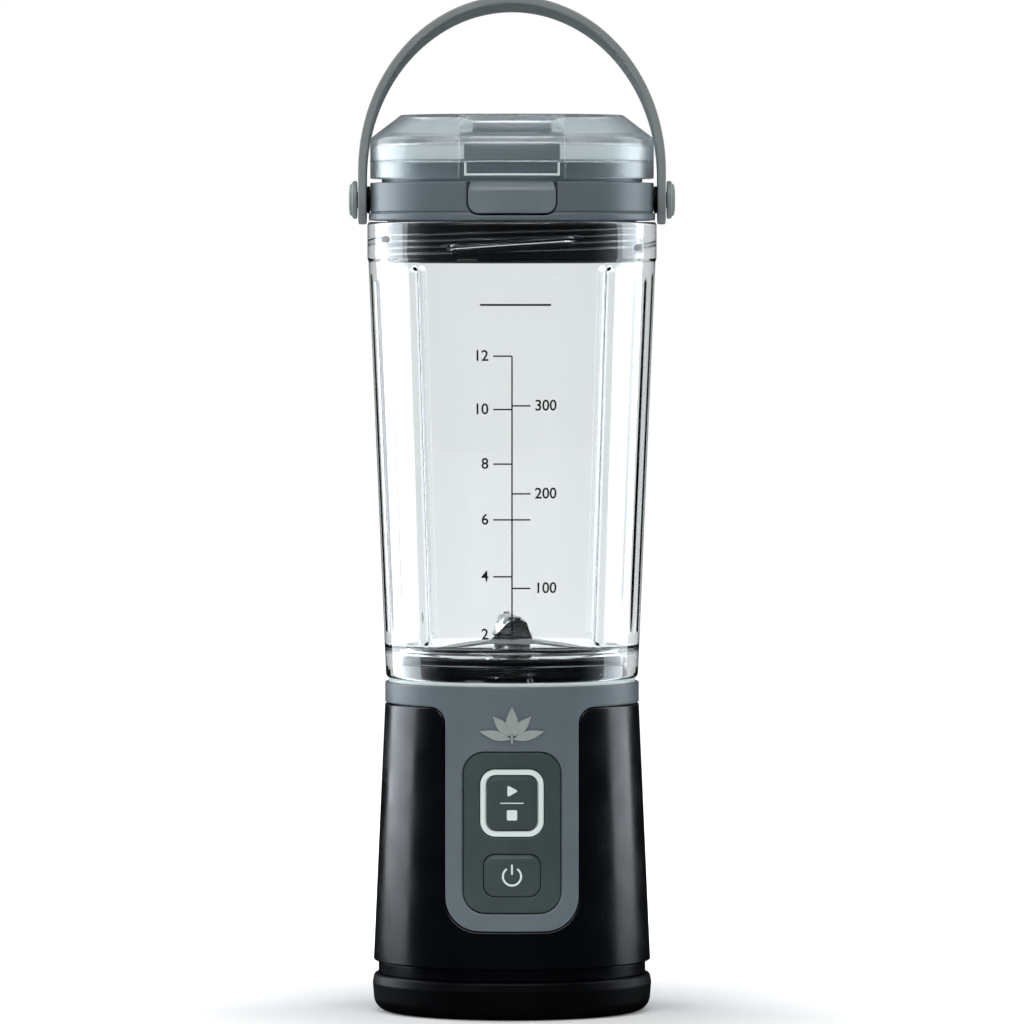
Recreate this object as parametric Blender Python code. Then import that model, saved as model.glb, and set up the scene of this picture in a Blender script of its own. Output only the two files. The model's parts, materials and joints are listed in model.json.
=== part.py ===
"""Portable cordless blender, as an assembly of separate closed solids.

Metres, +Z up, front at -Y. The origin is the centre of the foot's underside, on the common axis of
the motor, the blades, the vessel and the lid. Heights are given from a datum FOOT_DEPTH above the
underside, and main() lifts the finished assembly by as much. The vessel screws onto the motor
base, and the lid, with its sip flap, latch and carry handle, screws onto the vessel.
"""
import math

import bmesh
import bpy
from mathutils import Matrix, Vector

# Running and assembly clearances
GAP = 0.0003
SMOOTH_ANGLE = math.radians(35)

# Facets round a full circle, for large outer, large hidden, middling and small turned pieces
COARSE_TURN = 40
HIDDEN_TURN = 24
MIDDLE_TURN = 16
SMALL_TURN = 8

# Motor base
FOOT_DEPTH = 0.0013
FOOT_TOP = 0.0095
SLEEVE_BOTTOM = 0.0133
SLEEVE_TOP = 0.0867
SLEEVE_R_BOTTOM = 0.0396
SLEEVE_R_TOP = 0.0362
SLEEVE_WALL = 0.0020
SLEEVE_TAPER = (SLEEVE_R_BOTTOM - SLEEVE_R_TOP) / (SLEEVE_TOP - SLEEVE_BOTTOM)
COLLAR_TOP = 0.0930
COLLAR_R = 0.0363
COLLAR_INNER_R = 0.0325

# Fascia tongue, control panel and controls, as widths and heights on the front
TONGUE_WIDTH = 0.0380
TONGUE_BOTTOM = 0.0241
TONGUE_CORNER = 0.0095
TONGUE_FLARE = 0.0045
PANEL_WIDTH = 0.0277
PANEL_BOTTOM = 0.0293
PANEL_TOP = 0.0745
PANEL_CORNER = 0.0060
START_Z = 0.0603
START_SIZE = (0.0144, 0.0153, 0.0026)
RING_SIZE = (0.0180, 0.0189, 0.0042)
RING_HOLE = (0.0150, 0.0159, 0.0029)
POWER_Z = 0.0399
POWER_SIZE = (0.0159, 0.0117, 0.0030)
BUTTON_TRAVEL = 0.0008
BOARD_FRONT = -0.0298
SWITCH_DEPTH = 0.0030

# Power train and inner parts
MOTOR_R = 0.0140
MOTOR_BOTTOM = 0.0300
MOTOR_TOP = 0.0740
SHAFT_R = 0.0020
SHAFT_HOLE_R = 0.0023
CELL_R = 0.0092
CELL_LENGTH = 0.0652
CELL_X = 0.0240
CELL_BOTTOM = 0.0106
SCREW_CIRCLE_R = 0.0295
MOUNT_SCREW_X = 0.0080
PORT_Z = 0.0220
PORT_FLAP_SIZE = (0.0134, 0.0094, 0.0016)

# Blade platform and the screw joint between the base and the vessel
PLATFORM_TOP = 0.0984
PLATFORM_R = 0.0309
THREAD_STARTS = 4
VESSEL_LEAD = 0.0240
VESSEL_RIDGE = 0.0013
VESSEL_RIDGE_Z = 0.0955

# Blades, stacked on the hub under a cap nut
HUB_BOTTOM = 0.0990
HUB_TOP = 0.1035
LOWER_BLADE_Z = 0.1038
LOWER_BLADE_REACH = 0.0235
LOWER_BLADE_RISE = -0.0028
UPPER_BLADE_Z = 0.1053
UPPER_BLADE_REACH = 0.0205
UPPER_BLADE_RISE = 0.0055
BLADE_THICKNESS = 0.0012
BLADE_FLAT = 0.0062
NUT_R = 0.0046

# Vessel
JAR_BOTTOM = 0.0939
JAR_R_BOTTOM = 0.0360
JAR_R_TOP = 0.0410
JAR_SHOULDER = 0.2130
JAR_NECK_R = 0.0413
JAR_TOP = 0.2242
JAR_NECK_INNER_R = 0.0381
JAR_BAY_R = 0.0330
JAR_LEDGE_Z = 0.1010
JAR_LEDGE_R = 0.0312
JAR_FLOOR = 0.1034
JAR_FLOOR_R = 0.0333
RIB_WIDTH = 0.0026
RIB_DEPTH = 0.0026
RIB_BOTTOM = 0.1046
RIB_TOP = 0.2110

# Lid and the screw joint between the vessel and the lid
LID_LEAD = 0.0160
LID_RIDGE = 0.0012
LID_RIDGE_Z = 0.2146
PLUG_BOTTOM = 0.2129
PLUG_R = 0.0356
PLUG_INNER_R = 0.0326
LIP_BOTTOM = 0.2246
LIP_R = 0.0409
RING_BOTTOM = 0.2274
RING_TOP = 0.2354
LID_RING_R = 0.0405
NECK_R = 0.0372
DECK_TOP = 0.2390
DECK_BOTTOM = 0.2366
SPOUT_CENTRE_Y = -0.0250
SPOUT_HOLE = (0.0200, 0.0160, 0.0040)
SPOUT_RIM = (0.0228, 0.0188, 0.0054)
SPOUT_TOP = 0.2440
DOME_BOTTOM = 0.2365
DOME_TOP = 0.2547
DOME_R = 0.0405

# Sip flap
FLAP_HALF_WIDTH = 0.0147
FLAP_BOTTOM = 0.2371
FLAP_AXIS = Vector((0.0, -0.0095, 0.2531))
KNUCKLE_R = 0.00155
FLAP_PIN_R = 0.0006
FLAP_PIN_HALF = 0.0172

# Latch
LATCH_AXIS = Vector((0.0, -0.0366, 0.2313))
LATCH_WIDTH = 0.0245
LATCH_BOTTOM = 0.2266
LATCH_TOP = 0.2360
LATCH_CORNER = 0.0029
LATCH_R = 0.0411
LATCH_BACK_Y = -0.03525
POCKET_BACK_Y = -0.0345
POCKET_BOTTOM = 0.2260
POCKET_MARGIN = 0.0006
LATCH_PIN_R = 0.00055
LATCH_PIN_HALF = 0.0138
SPRING_PLACE = Vector((0.0, -0.0337, 0.2285))
SPRING_R = 0.0010
SPRING_WIRE_R = 0.0002
SPRING_LENGTH = 0.0040

# Carry handle
HANDLE_AXIS = Vector((0.0, 0.0, 0.2305))
HANDLE_LEAN = math.radians(9)
HANDLE_HALF_WIDTH = 0.0439
HANDLE_THICKNESS = 0.0024
HANDLE_LEG_TOP = 0.0075
HANDLE_CROWN = 0.0580
HANDLE_DEPTH = 0.0140
RIVET_R = 0.0023
RIVET_HEAD_R = 0.0054
RIVET_START = 0.0370

# Colours as linear RGB, with roughness, metallic value and alpha
GREY_PLASTIC = ((0.125, 0.160, 0.182), 0.42, 0.0, 1.0)
DARK_GREY_PLASTIC = ((0.050, 0.076, 0.078), 0.50, 0.0, 1.0)
BLACK_PLASTIC = ((0.008, 0.009, 0.010), 0.35, 0.0, 1.0)
SMOKE_PLASTIC = ((0.42, 0.50, 0.52), 0.25, 0.0, 0.75)
CLEAR_PLASTIC = ((0.90, 0.94, 0.95), 0.05, 0.0, 0.25)
LIGHT_PLASTIC = ((0.76, 0.84, 0.82), 0.30, 0.0, 1.0)
BLACK_RUBBER = ((0.012, 0.012, 0.013), 0.70, 0.0, 1.0)
GREY_RUBBER = ((0.120, 0.150, 0.160), 0.75, 0.0, 1.0)
STEEL = ((0.56, 0.56, 0.55), 0.25, 1.0, 1.0)
BRONZE = ((0.48, 0.31, 0.14), 0.40, 1.0, 1.0)
MAGNET_GREY = ((0.06, 0.06, 0.065), 0.60, 0.0, 1.0)
COPPER = ((0.70, 0.31, 0.16), 0.35, 1.0, 1.0)
CELL_SLEEVE = ((0.10, 0.24, 0.42), 0.40, 0.0, 1.0)
BOARD_GREEN = ((0.02, 0.14, 0.06), 0.45, 0.0, 1.0)


# ---------------------------------------------------------------- making and combining solids

def finish(body, finish_values):
    """Give a body its own Principled material."""
    colour, roughness, metallic, alpha = finish_values
    material = bpy.data.materials.new(body.name + "_material")
    material.use_nodes = True
    shader = material.node_tree.nodes["Principled BSDF"]
    shader.inputs["Base Color"].default_value = (*colour, 1.0)
    shader.inputs["Roughness"].default_value = roughness
    shader.inputs["Metallic"].default_value = metallic
    shader.inputs["Alpha"].default_value = alpha
    material.diffuse_color = (*colour, alpha)
    body.data.materials.clear()
    body.data.materials.append(material)
    body.data.shade_smooth()
    body.data.set_sharp_from_angle(angle=SMOOTH_ANGLE)
    return body


def solid(name, shape):
    """Turn a bmesh into an object whose faces point outward."""
    bmesh.ops.recalc_face_normals(shape, faces=shape.faces)
    mesh = bpy.data.meshes.new(name)
    shape.to_mesh(mesh)
    shape.free()
    body = bpy.data.objects.new(name, mesh)
    bpy.context.scene.collection.objects.link(body)
    return body


def combine(body, tool, operation):
    """Apply one exact Boolean to a body and drop the tool."""
    modifier = body.modifiers.new(operation.lower(), "BOOLEAN")
    modifier.operation = operation
    modifier.solver = "EXACT"
    modifier.object = tool
    graph = bpy.context.evaluated_depsgraph_get()
    mesh = bpy.data.meshes.new_from_object(body.evaluated_get(graph))
    body.modifiers.clear()
    before = body.data
    body.data = mesh
    bpy.data.meshes.remove(before)
    bpy.data.objects.remove(tool)
    return body


def cut(body, *shapes):
    for shape in shapes:
        combine(body, solid("cutter", shape), "DIFFERENCE")
    return body


def add(body, *shapes):
    for shape in shapes:
        combine(body, solid("addition", shape), "UNION")
    return body


def keep_inside(body, shape):
    return combine(body, solid("envelope", shape), "INTERSECT")


def turned(profile, segments):
    """Revolve a closed (radius, height) outline about the Z axis."""
    shape = bmesh.new()
    rings = []
    for radius, height in profile:
        if radius == 0.0:
            rings.append([shape.verts.new((0.0, 0.0, height))])
            continue
        angles = [2 * math.pi * step / segments for step in range(segments)]
        ring = [shape.verts.new((radius * math.cos(a), radius * math.sin(a), height)) for a in angles]
        rings.append(ring)
    for index, ring in enumerate(rings):
        following = rings[(index + 1) % len(rings)]
        if len(ring) == 1 and len(following) == 1:
            continue
        for step in range(segments):
            nearby = (step + 1) % segments
            if len(ring) == 1:
                shape.faces.new((ring[0], following[step], following[nearby]))
            elif len(following) == 1:
                shape.faces.new((ring[step], following[0], ring[nearby]))
            else:
                shape.faces.new((ring[step], following[step], following[nearby], ring[nearby]))
    return shape


def moved(shape, matrix):
    bmesh.ops.transform(shape, matrix=matrix, verts=shape.verts)
    return shape


def along(axis):
    """Rotation that carries +Z onto the named axis."""
    turns = {
        "X": Matrix.Rotation(math.radians(90), 4, "Y"),
        "-X": Matrix.Rotation(math.radians(-90), 4, "Y"),
        "Y": Matrix.Rotation(math.radians(-90), 4, "X"),
        "-Y": Matrix.Rotation(math.radians(90), 4, "X"),
        "Z": Matrix.Identity(4),
    }
    return turns[axis]


def turned_at(profile, segments, place, axis="Z"):
    return moved(turned(profile, segments), Matrix.Translation(place) @ along(axis))


def rod(radius, length, place, axis="Z", segments=SMALL_TURN):
    """Cylinder that starts at place and runs along the axis, with a flat facet facing +X."""
    outline = [(0.0, 0.0), (radius, 0.0), (radius, length), (0.0, length)]
    half_step = Matrix.Rotation(math.pi / segments, 4, "Z")
    return moved(turned(outline, segments), Matrix.Translation(place) @ along(axis) @ half_step)


def tube(outer, inner, length, place, segments=SMALL_TURN):
    """Upright ring that starts at place, with a flat facet facing +X."""
    outline = [(inner, 0.0), (outer, 0.0), (outer, length), (inner, length)]
    half_step = Matrix.Rotation(math.pi / segments, 4, "Z")
    return moved(turned(outline, segments), Matrix.Translation(place) @ half_step)


def block(low, high):
    """Box between two corners."""
    shape = bmesh.new()
    bmesh.ops.create_cube(shape, size=1.0)
    size = [high[i] - low[i] for i in range(3)]
    centre = [(high[i] + low[i]) / 2 for i in range(3)]
    bmesh.ops.scale(shape, vec=size, verts=shape.verts)
    bmesh.ops.translate(shape, vec=centre, verts=shape.verts)
    return shape


def rounded_rect(width, height, corner, centre=(0.0, 0.0), steps=4):
    """Outline of a rectangle with round corners, anticlockwise."""
    points = []
    signs = [(1, 1), (-1, 1), (-1, -1), (1, -1)]
    for quarter, (sx, sy) in enumerate(signs):
        cx = centre[0] + sx * (width / 2 - corner)
        cy = centre[1] + sy * (height / 2 - corner)
        for step in range(steps + 1):
            angle = math.radians(90) * (quarter + step / steps)
            points.append((cx + corner * math.cos(angle), cy + corner * math.sin(angle)))
    return points


def prism(outline, low, high, axis="Z"):
    """Extrude a two-dimensional outline; along Y it lies in XZ, along X it lies in YZ."""
    order = {
        "Z": lambda u, v, w: (u, v, w),
        "Y": lambda u, v, w: (u, w, v),
        "X": lambda u, v, w: (w, u, v),
    }
    shape = bmesh.new()
    bottom = [shape.verts.new(order[axis](u, v, low)) for u, v in outline]
    top = [shape.verts.new(order[axis](u, v, high)) for u, v in outline]
    shape.faces.new(bottom)
    shape.faces.new(top)
    count = len(outline)
    for index in range(count):
        following = (index + 1) % count
        shape.faces.new((bottom[index], bottom[following], top[following], top[index]))
    return shape


def swept_section(sections):
    """Join a row of matching closed sections into one solid with flat ends."""
    shape = bmesh.new()
    rows = [[shape.verts.new(point) for point in section] for section in sections]
    count = len(rows[0])
    for row, following in zip(rows, rows[1:]):
        for index in range(count):
            nearby = (index + 1) % count
            shape.faces.new((row[index], row[nearby], following[nearby], following[index]))
    shape.faces.new(rows[0])
    shape.faces.new(rows[-1])
    return shape


def helical_ridges(inner, outer, low, thickness, arc, lead, steps):
    """Equally spaced right-handed screw ridges, as one loose set of solids."""
    ridges = bmesh.new()
    for start in range(THREAD_STARTS):
        first = 2 * math.pi * start / THREAD_STARTS - arc / 2
        sections = []
        for step in range(steps + 1):
            turn = arc * step / steps
            angle = first + turn
            z = low + lead * turn / (2 * math.pi)
            corners = [(inner, z), (outer, z), (outer, z + thickness), (inner, z + thickness)]
            sections.append([(r * math.cos(angle), r * math.sin(angle), h) for r, h in corners])
        ridge = swept_section(sections)
        part = bpy.data.meshes.new("ridge")
        ridge.to_mesh(part)
        ridge.free()
        ridges.from_mesh(part)
        bpy.data.meshes.remove(part)
    return ridges


def vessel_ridges(inner, outer, low):
    return helical_ridges(inner, outer, low, VESSEL_RIDGE, math.radians(22), VESSEL_LEAD, 3)


def lid_ridges(inner, outer, low):
    return helical_ridges(inner, outer, low, LID_RIDGE, math.radians(60), LID_LEAD, 5)


def sleeve_radius(z):
    return SLEEVE_R_BOTTOM - SLEEVE_TAPER * (z - SLEEVE_BOTTOM)


def cone_shell(outside, inside, low, high):
    """Band that follows the sleeve's taper, offset outward by outside and inside."""
    outline = [
        (sleeve_radius(low) + inside, low),
        (sleeve_radius(low) + outside, low),
        (sleeve_radius(high) + outside, high),
        (sleeve_radius(high) + inside, high),
    ]
    return turned(outline, COARSE_TURN)


def front_prism(size, z, grow=0.0):
    """Rounded-rectangle prism through the front wall, centred at height z."""
    width, height, corner = size
    outline = rounded_rect(width + 2 * grow, height + 2 * grow, corner + grow, (0.0, z))
    return prism(outline, -0.060, -0.020, "Y")


def front_piece(name, size, z, outside, inside):
    """Piece of the tapered front wall with a rounded-rectangle outline."""
    reach = size[1] / 2 + 0.002
    piece = solid(name, cone_shell(outside, inside, z - reach, z + reach))
    return keep_inside(piece, front_prism(size, z))


def open_top(width, bottom, top, corner, flare=0.0, steps=5):
    """Outline with round lower corners, whose straight sides may flare into the edge above."""
    half = width / 2
    centre_x, centre_z = corner - half, bottom + corner
    left = []
    for step in range(steps + 1):
        angle = math.radians(90) * (2 + step / steps)
        left.append((centre_x + corner * math.cos(angle), centre_z + corner * math.sin(angle)))
    right = []
    for step in range(steps + 1 if flare else 0):
        angle = math.radians(90) * (2 - step / steps)
        right.append((half + flare + flare * math.cos(angle), top - flare + flare * math.sin(angle)))
    right.append((half + flare, top + flare / 4))
    mirrored = [(-x, z) for x, z in reversed(left)]
    return left + mirrored + right + [(-x, z) for x, z in reversed(right)]


def tongue_outline(grow=0.0):
    width = TONGUE_WIDTH + 2 * grow
    top = SLEEVE_TOP + 0.0006
    return open_top(width, TONGUE_BOTTOM - grow, top, TONGUE_CORNER + grow, TONGUE_FLARE - grow)


# ---------------------------------------------------------------- motor base, fixed pieces

def foot_boot():
    profile = [
        (0.0, -FOOT_DEPTH), (0.0350, -FOOT_DEPTH), (0.0376, 0.0010 - FOOT_DEPTH),
        (0.0390, 0.0035 - FOOT_DEPTH), (0.0399, 0.0072), (0.0391, FOOT_TOP), (0.0366, FOOT_TOP),
        (0.0366, 0.0022), (0.0, 0.0022),
    ]
    return finish(solid("foot_boot", turned(profile, COARSE_TURN)), BLACK_RUBBER)


def bottom_cover():
    profile = [
        (0.0, 0.0025), (0.0363, 0.0025), (0.0363, FOOT_TOP + GAP), (0.0382, FOOT_TOP + GAP),
        (0.0382, SLEEVE_BOTTOM - GAP), (0.0371, SLEEVE_BOTTOM - GAP), (0.0371, 0.0180),
        (0.0351, 0.0180), (0.0351, 0.0045), (0.0, 0.0045),
    ]
    cover = solid("bottom_cover", turned(profile, COARSE_TURN))
    for place in screw_places():
        cut(cover, rod(0.0029, 0.0022, (place.x, place.y, 0.0015)))
        cut(cover, rod(0.0014, 0.0040, (place.x, place.y, 0.0025)))
    return finish(cover, BLACK_PLASTIC)


def housing():
    outline = [
        (SLEEVE_R_BOTTOM, SLEEVE_BOTTOM), (SLEEVE_R_TOP, SLEEVE_TOP),
        (SLEEVE_R_TOP - SLEEVE_WALL, SLEEVE_TOP), (SLEEVE_R_BOTTOM - SLEEVE_WALL, SLEEVE_BOTTOM),
    ]
    sleeve = solid("housing", turned(outline, COARSE_TURN))
    cut(sleeve, prism(tongue_outline(GAP), -0.060, -0.010, "Y"))
    width, height, _ = PORT_FLAP_SIZE
    opening = rounded_rect(width + 2 * GAP, height + 2 * GAP, 0.0015, (0.0, PORT_Z))
    cut(sleeve, prism(opening, 0.030, 0.050, "Y"))
    return finish(sleeve, BLACK_PLASTIC)


def collar_fascia():
    ring = [
        (COLLAR_R, SLEEVE_TOP + GAP), (COLLAR_R, COLLAR_TOP - 0.0005), (0.0358, COLLAR_TOP),
        (COLLAR_INNER_R, COLLAR_TOP), (COLLAR_INNER_R, 0.0835), (0.0339, 0.0835),
        (0.0339, SLEEVE_TOP + GAP),
    ]
    fascia = solid("collar_fascia", turned(ring, COARSE_TURN))
    tongue = solid("tongue", cone_shell(0.0001, -0.0020, TONGUE_BOTTOM - 0.001, SLEEVE_TOP + 0.0010))
    keep_inside(tongue, prism(tongue_outline(), -0.060, -0.010, "Y"))
    combine(fascia, tongue, "UNION")
    panel = (PANEL_WIDTH, PANEL_TOP - PANEL_BOTTOM, PANEL_CORNER)
    cut(fascia, front_prism(panel, (PANEL_TOP + PANEL_BOTTOM) / 2, GAP))
    return finish(fascia, GREY_PLASTIC)


def control_panel():
    size = (PANEL_WIDTH, PANEL_TOP - PANEL_BOTTOM, PANEL_CORNER)
    panel = front_piece("control_panel", size, (PANEL_TOP + PANEL_BOTTOM) / 2, -0.0002, -0.0022)
    cut(panel, front_prism(RING_SIZE, START_Z, GAP), front_prism(POWER_SIZE, POWER_Z, GAP))
    return finish(panel, DARK_GREY_PLASTIC)


def light_ring():
    ring = front_piece("light_ring", RING_SIZE, START_Z, 0.0002, -0.0024)
    cut(ring, front_prism(RING_HOLE, START_Z))
    return finish(ring, LIGHT_PLASTIC)


def button_board():
    board = prism(rounded_rect(0.0240, 0.0420, 0.0010, (0.0, 0.0515), 2), BOARD_FRONT, -0.0286, "Y")
    return finish(solid("button_board", board), BOARD_GREEN)


def switch(name, z):
    front = BOARD_FRONT - GAP
    body = solid(name, block((-0.003, front - 0.0022, z - 0.003), (0.003, front, z + 0.003)))
    add(body, rod(0.0015, SWITCH_DEPTH / 2, (0.0, front - SWITCH_DEPTH, z), "Y"))
    return finish(body, BLACK_PLASTIC)


def motor_can():
    wall = 0.0012
    outline = [
        (MOTOR_R, MOTOR_BOTTOM), (MOTOR_R, MOTOR_TOP - 0.0012), (MOTOR_R - 0.0012, MOTOR_TOP),
        (0.0050, MOTOR_TOP), (0.0050, MOTOR_TOP - wall), (MOTOR_R - wall, MOTOR_TOP - wall),
        (MOTOR_R - wall, MOTOR_BOTTOM),
    ]
    can = solid("motor_can", turned(outline, MIDDLE_TURN))
    for side in (-1, 1):
        cut(can, rod(0.0014, 0.0040, (side * MOUNT_SCREW_X, 0.0, MOTOR_TOP - 0.0030)))
    return finish(can, STEEL)


def motor_endcap():
    outline = [
        (0.0058, 0.0270), (0.0100, 0.0270), (0.0138, 0.0290), (0.0138, 0.0297), (0.0124, 0.0297),
        (0.0124, 0.0330), (0.0058, 0.0330),
    ]
    return finish(solid("motor_endcap", turned(outline, MIDDLE_TURN)), BLACK_PLASTIC)


def motor_magnet(name, side):
    """Half-round field magnet that lines one side of the can."""
    outer, inner = 0.0125, 0.0106
    low, high = 0.0380, 0.0680
    sections = []
    for step in range(9):
        angle = math.radians(-60 + 120 * step / 8)
        corners = [(inner, low), (outer, low), (outer, high), (inner, high)]
        sections.append([(side * r * math.cos(angle), r * math.sin(angle), h) for r, h in corners])
    return finish(solid(name, swept_section(sections)), MAGNET_GREY)


def motor_mount():
    """Plate over the motor that carries it, bridged between the battery cells."""
    outline = rounded_rect(0.0280, 0.0640, 0.0040)
    plate = solid("motor_mount", prism(outline, MOTOR_TOP + GAP, 0.0768))
    cut(plate, rod(0.0060, 0.01, (0.0, 0.0, 0.070)))
    for side in (-1, 1):
        cut(plate, rod(0.0015, 0.01, (side * MOUNT_SCREW_X, 0.0, 0.070)))
    return finish(plate, BLACK_PLASTIC)


def bearing(name, low, outer):
    race = tube(outer, SHAFT_HOLE_R, 0.0040, (0.0, 0.0, low), segments=MIDDLE_TURN)
    return finish(solid(name, race), BRONZE)


def shaft_seal():
    seal = tube(0.0060, SHAFT_HOLE_R, 0.0030, (0.0, 0.0, 0.0948), segments=MIDDLE_TURN)
    return finish(solid("shaft_seal", seal), BLACK_RUBBER)


def blade_platform():
    """Top of the base inside the vessel: floor, seal bore and the male screw lugs."""
    profile = [
        (0.0063, 0.0865), (0.0090, 0.0865), (0.0090, 0.0950), (0.0290, 0.0950), (0.0290, 0.0865),
        (0.0322, 0.0865), (0.0322, 0.0929), (PLATFORM_R, 0.0929),
        (PLATFORM_R, PLATFORM_TOP - 0.0004), (PLATFORM_R - 0.0004, PLATFORM_TOP),
        (0.0063, PLATFORM_TOP),
    ]
    platform = solid("blade_platform", turned(profile, COARSE_TURN))
    add(platform, vessel_ridges(PLATFORM_R - 0.0006, 0.0326, VESSEL_RIDGE_Z))
    return finish(platform, BLACK_PLASTIC)


def battery_cell(name, side):
    outline = [
        (0.0, 0.0), (CELL_R, 0.0), (CELL_R, CELL_LENGTH - 0.0015), (0.0045, CELL_LENGTH - 0.0015),
        (0.0045, CELL_LENGTH), (0.0, CELL_LENGTH),
    ]
    cell = turned_at(outline, MIDDLE_TURN, (side * CELL_X, 0.0, CELL_BOTTOM))
    return finish(solid(name, cell), CELL_SLEEVE)


def battery_tray():
    tray = solid("battery_tray", tube(0.0346, 0.0060, 0.0020, (0.0, 0.0, 0.0083), segments=HIDDEN_TURN))
    for side in (-1, 1):
        cup = tube(0.0104, CELL_R + GAP, 0.0080, (side * CELL_X, 0.0, 0.0095), segments=MIDDLE_TURN)
        add(tray, cup)
    for place in screw_places():
        add(tray, rod(0.0032, 0.0082, (place.x, place.y, 0.0049)))
        cut(tray, rod(0.0014, 0.0100, (place.x, place.y, 0.0040)))
    return finish(tray, BLACK_PLASTIC)


def main_board():
    board = prism(rounded_rect(0.0340, 0.0500, 0.0010, (0.0, 0.0440), 2), 0.0250, 0.0266, "Y")
    return finish(solid("main_board", board), BOARD_GREEN)


def charging_port():
    """Upright receptacle shell: a stadium-shaped mouth with a tongue inside."""
    outer = rounded_rect(0.0089, 0.0032, 0.0015, (0.0, PORT_Z))
    mouth = rounded_rect(0.0083, 0.0026, 0.0012, (0.0, PORT_Z))
    tongue_half = 0.00035
    shell = solid("charging_port", prism(outer, 0.0269, 0.0362, "Y"))
    cut(shell, prism(mouth, 0.0300, 0.0380, "Y"))
    add(shell, block((-0.0033, 0.0290, PORT_Z - tongue_half), (0.0033, 0.0352, PORT_Z + tongue_half)))
    return finish(shell, STEEL)


def base_screw(name, place):
    """Pan-head screw driven up through the bottom cover."""
    bottom, head_r, head, shank_r, shank = 0.0026, 0.0026, 0.0010, 0.0011, 0.0084
    outline = [
        (0.0, 0.0), (head_r - 0.0005, 0.0), (head_r, 0.0004), (head_r, head), (shank_r, head),
        (shank_r, head + shank), (0.0, head + shank),
    ]
    return finish(solid(name, turned_at(outline, SMALL_TURN, (place.x, place.y, bottom))), STEEL)


def screw_places():
    angles = [math.radians(45 + 90 * turn) for turn in range(4)]
    return [Vector((SCREW_CIRCLE_R * math.cos(a), SCREW_CIRCLE_R * math.sin(a), 0.0)) for a in angles]


def mount_screw(name, side):
    """Screw that hangs the motor under its mount, turned head up."""
    outline = [
        (0.0, 0.0), (0.0011, 0.0), (0.0011, 0.0044), (0.0024, 0.0044), (0.0024, 0.0054),
        (0.0014, 0.0060), (0.0, 0.0060),
    ]
    body = turned_at(outline, SMALL_TURN, (side * MOUNT_SCREW_X, 0.0, 0.0727))
    return finish(solid(name, body), STEEL)


# ---------------------------------------------------------------- moving pieces on the base

def button(name, size, z, finish_values):
    """Cap that follows the panel's curve, with a stem that reaches for its switch."""
    cap = front_piece(name, size, z, 0.0, -0.0016)
    stem_front = -(sleeve_radius(z) - 0.0012)
    stem_back = BOARD_FRONT - GAP - SWITCH_DEPTH - BUTTON_TRAVEL - 0.0002
    add(cap, rod(0.0018, stem_back - stem_front, (0.0, stem_front, z), "Y"))
    return finish(cap, finish_values)


def port_flap():
    """Rubber cover that lies flush in the rear of the sleeve."""
    width, height, thickness = PORT_FLAP_SIZE
    flap = solid("port_flap", cone_shell(0.0, -thickness, PORT_Z - height, PORT_Z + height))
    outline = rounded_rect(width, height, 0.0012, (0.0, PORT_Z))
    keep_inside(flap, prism(outline, 0.030, 0.050, "Y"))
    return finish(flap, BLACK_RUBBER)


def motor_rotor():
    outline = [
        (SHAFT_HOLE_R, 0.0400), (0.0060, 0.0400), (0.0060, 0.0425), (0.0100, 0.0425),
        (0.0100, 0.0640), (0.0060, 0.0640), (0.0060, 0.0665), (SHAFT_HOLE_R, 0.0665),
    ]
    return finish(solid("motor_rotor", turned(outline, MIDDLE_TURN)), COPPER)


def motor_shaft():
    return finish(solid("motor_shaft", rod(SHAFT_R, 0.0820, (0.0, 0.0, 0.0265))), STEEL)


def blade_hub():
    outline = [
        (SHAFT_HOLE_R, HUB_BOTTOM), (0.0080, HUB_BOTTOM), (0.0078, HUB_BOTTOM + 0.0010),
        (0.0052, HUB_TOP), (SHAFT_HOLE_R, HUB_TOP),
    ]
    return finish(solid("blade_hub", turned(outline, MIDDLE_TURN)), STEEL)


def blade(name, z, reach, rise, spin):
    """Two-armed pressed blade whose arms bend away from its flat middle."""
    stations = [-1.0, -0.62, -0.30, 0.30, 0.62, 1.0]
    sections = []
    for station in stations:
        x = station * reach
        beyond = max(0.0, abs(x) - BLADE_FLAT) / (reach - BLADE_FLAT)
        half = 0.0058 - 0.0036 * beyond
        lift = rise * beyond
        sweep = math.copysign(0.0016 * beyond, x)
        low, high = z + lift, z + lift + BLADE_THICKNESS
        corners = [(-half, low), (half, low), (half, high), (-half, high)]
        sections.append([(x, sweep + across, height) for across, height in corners])
    body = solid(name, moved(swept_section(sections), Matrix.Rotation(spin, 4, "Z")))
    cut(body, rod(SHAFT_HOLE_R, 0.01, (0.0, 0.0, z - 0.004)))
    return finish(body, STEEL)


def blade_nut():
    """Domed cap nut over the end of the shaft."""
    corners = [math.radians(60 * corner) for corner in range(6)]
    hexagon = [(NUT_R * math.cos(a), NUT_R * math.sin(a)) for a in corners]
    nut = solid("blade_nut", prism(hexagon, 0.1068, 0.1096))
    outline = [(0.0, 0.1080), (0.0036, 0.1080), (0.0036, 0.1100), (0.0028, 0.1112), (0.0, 0.1117)]
    add(nut, turned(outline, SMALL_TURN))
    cut(nut, rod(SHAFT_HOLE_R, 0.0040, (0.0, 0.0, 0.1050)))
    return finish(nut, STEEL)


# ---------------------------------------------------------------- vessel

def vessel_gasket():
    gasket = tube(0.0327, 0.0290, 0.0020, (0.0, 0.0, PLATFORM_TOP + GAP), segments=COARSE_TURN)
    return finish(solid("vessel_gasket", gasket), BLACK_RUBBER)


def jar_inner_radius(z):
    risen = (z - JAR_FLOOR) / (JAR_SHOULDER - JAR_FLOOR)
    return JAR_FLOOR_R + (JAR_NECK_INNER_R - JAR_FLOOR_R) * risen


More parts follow.
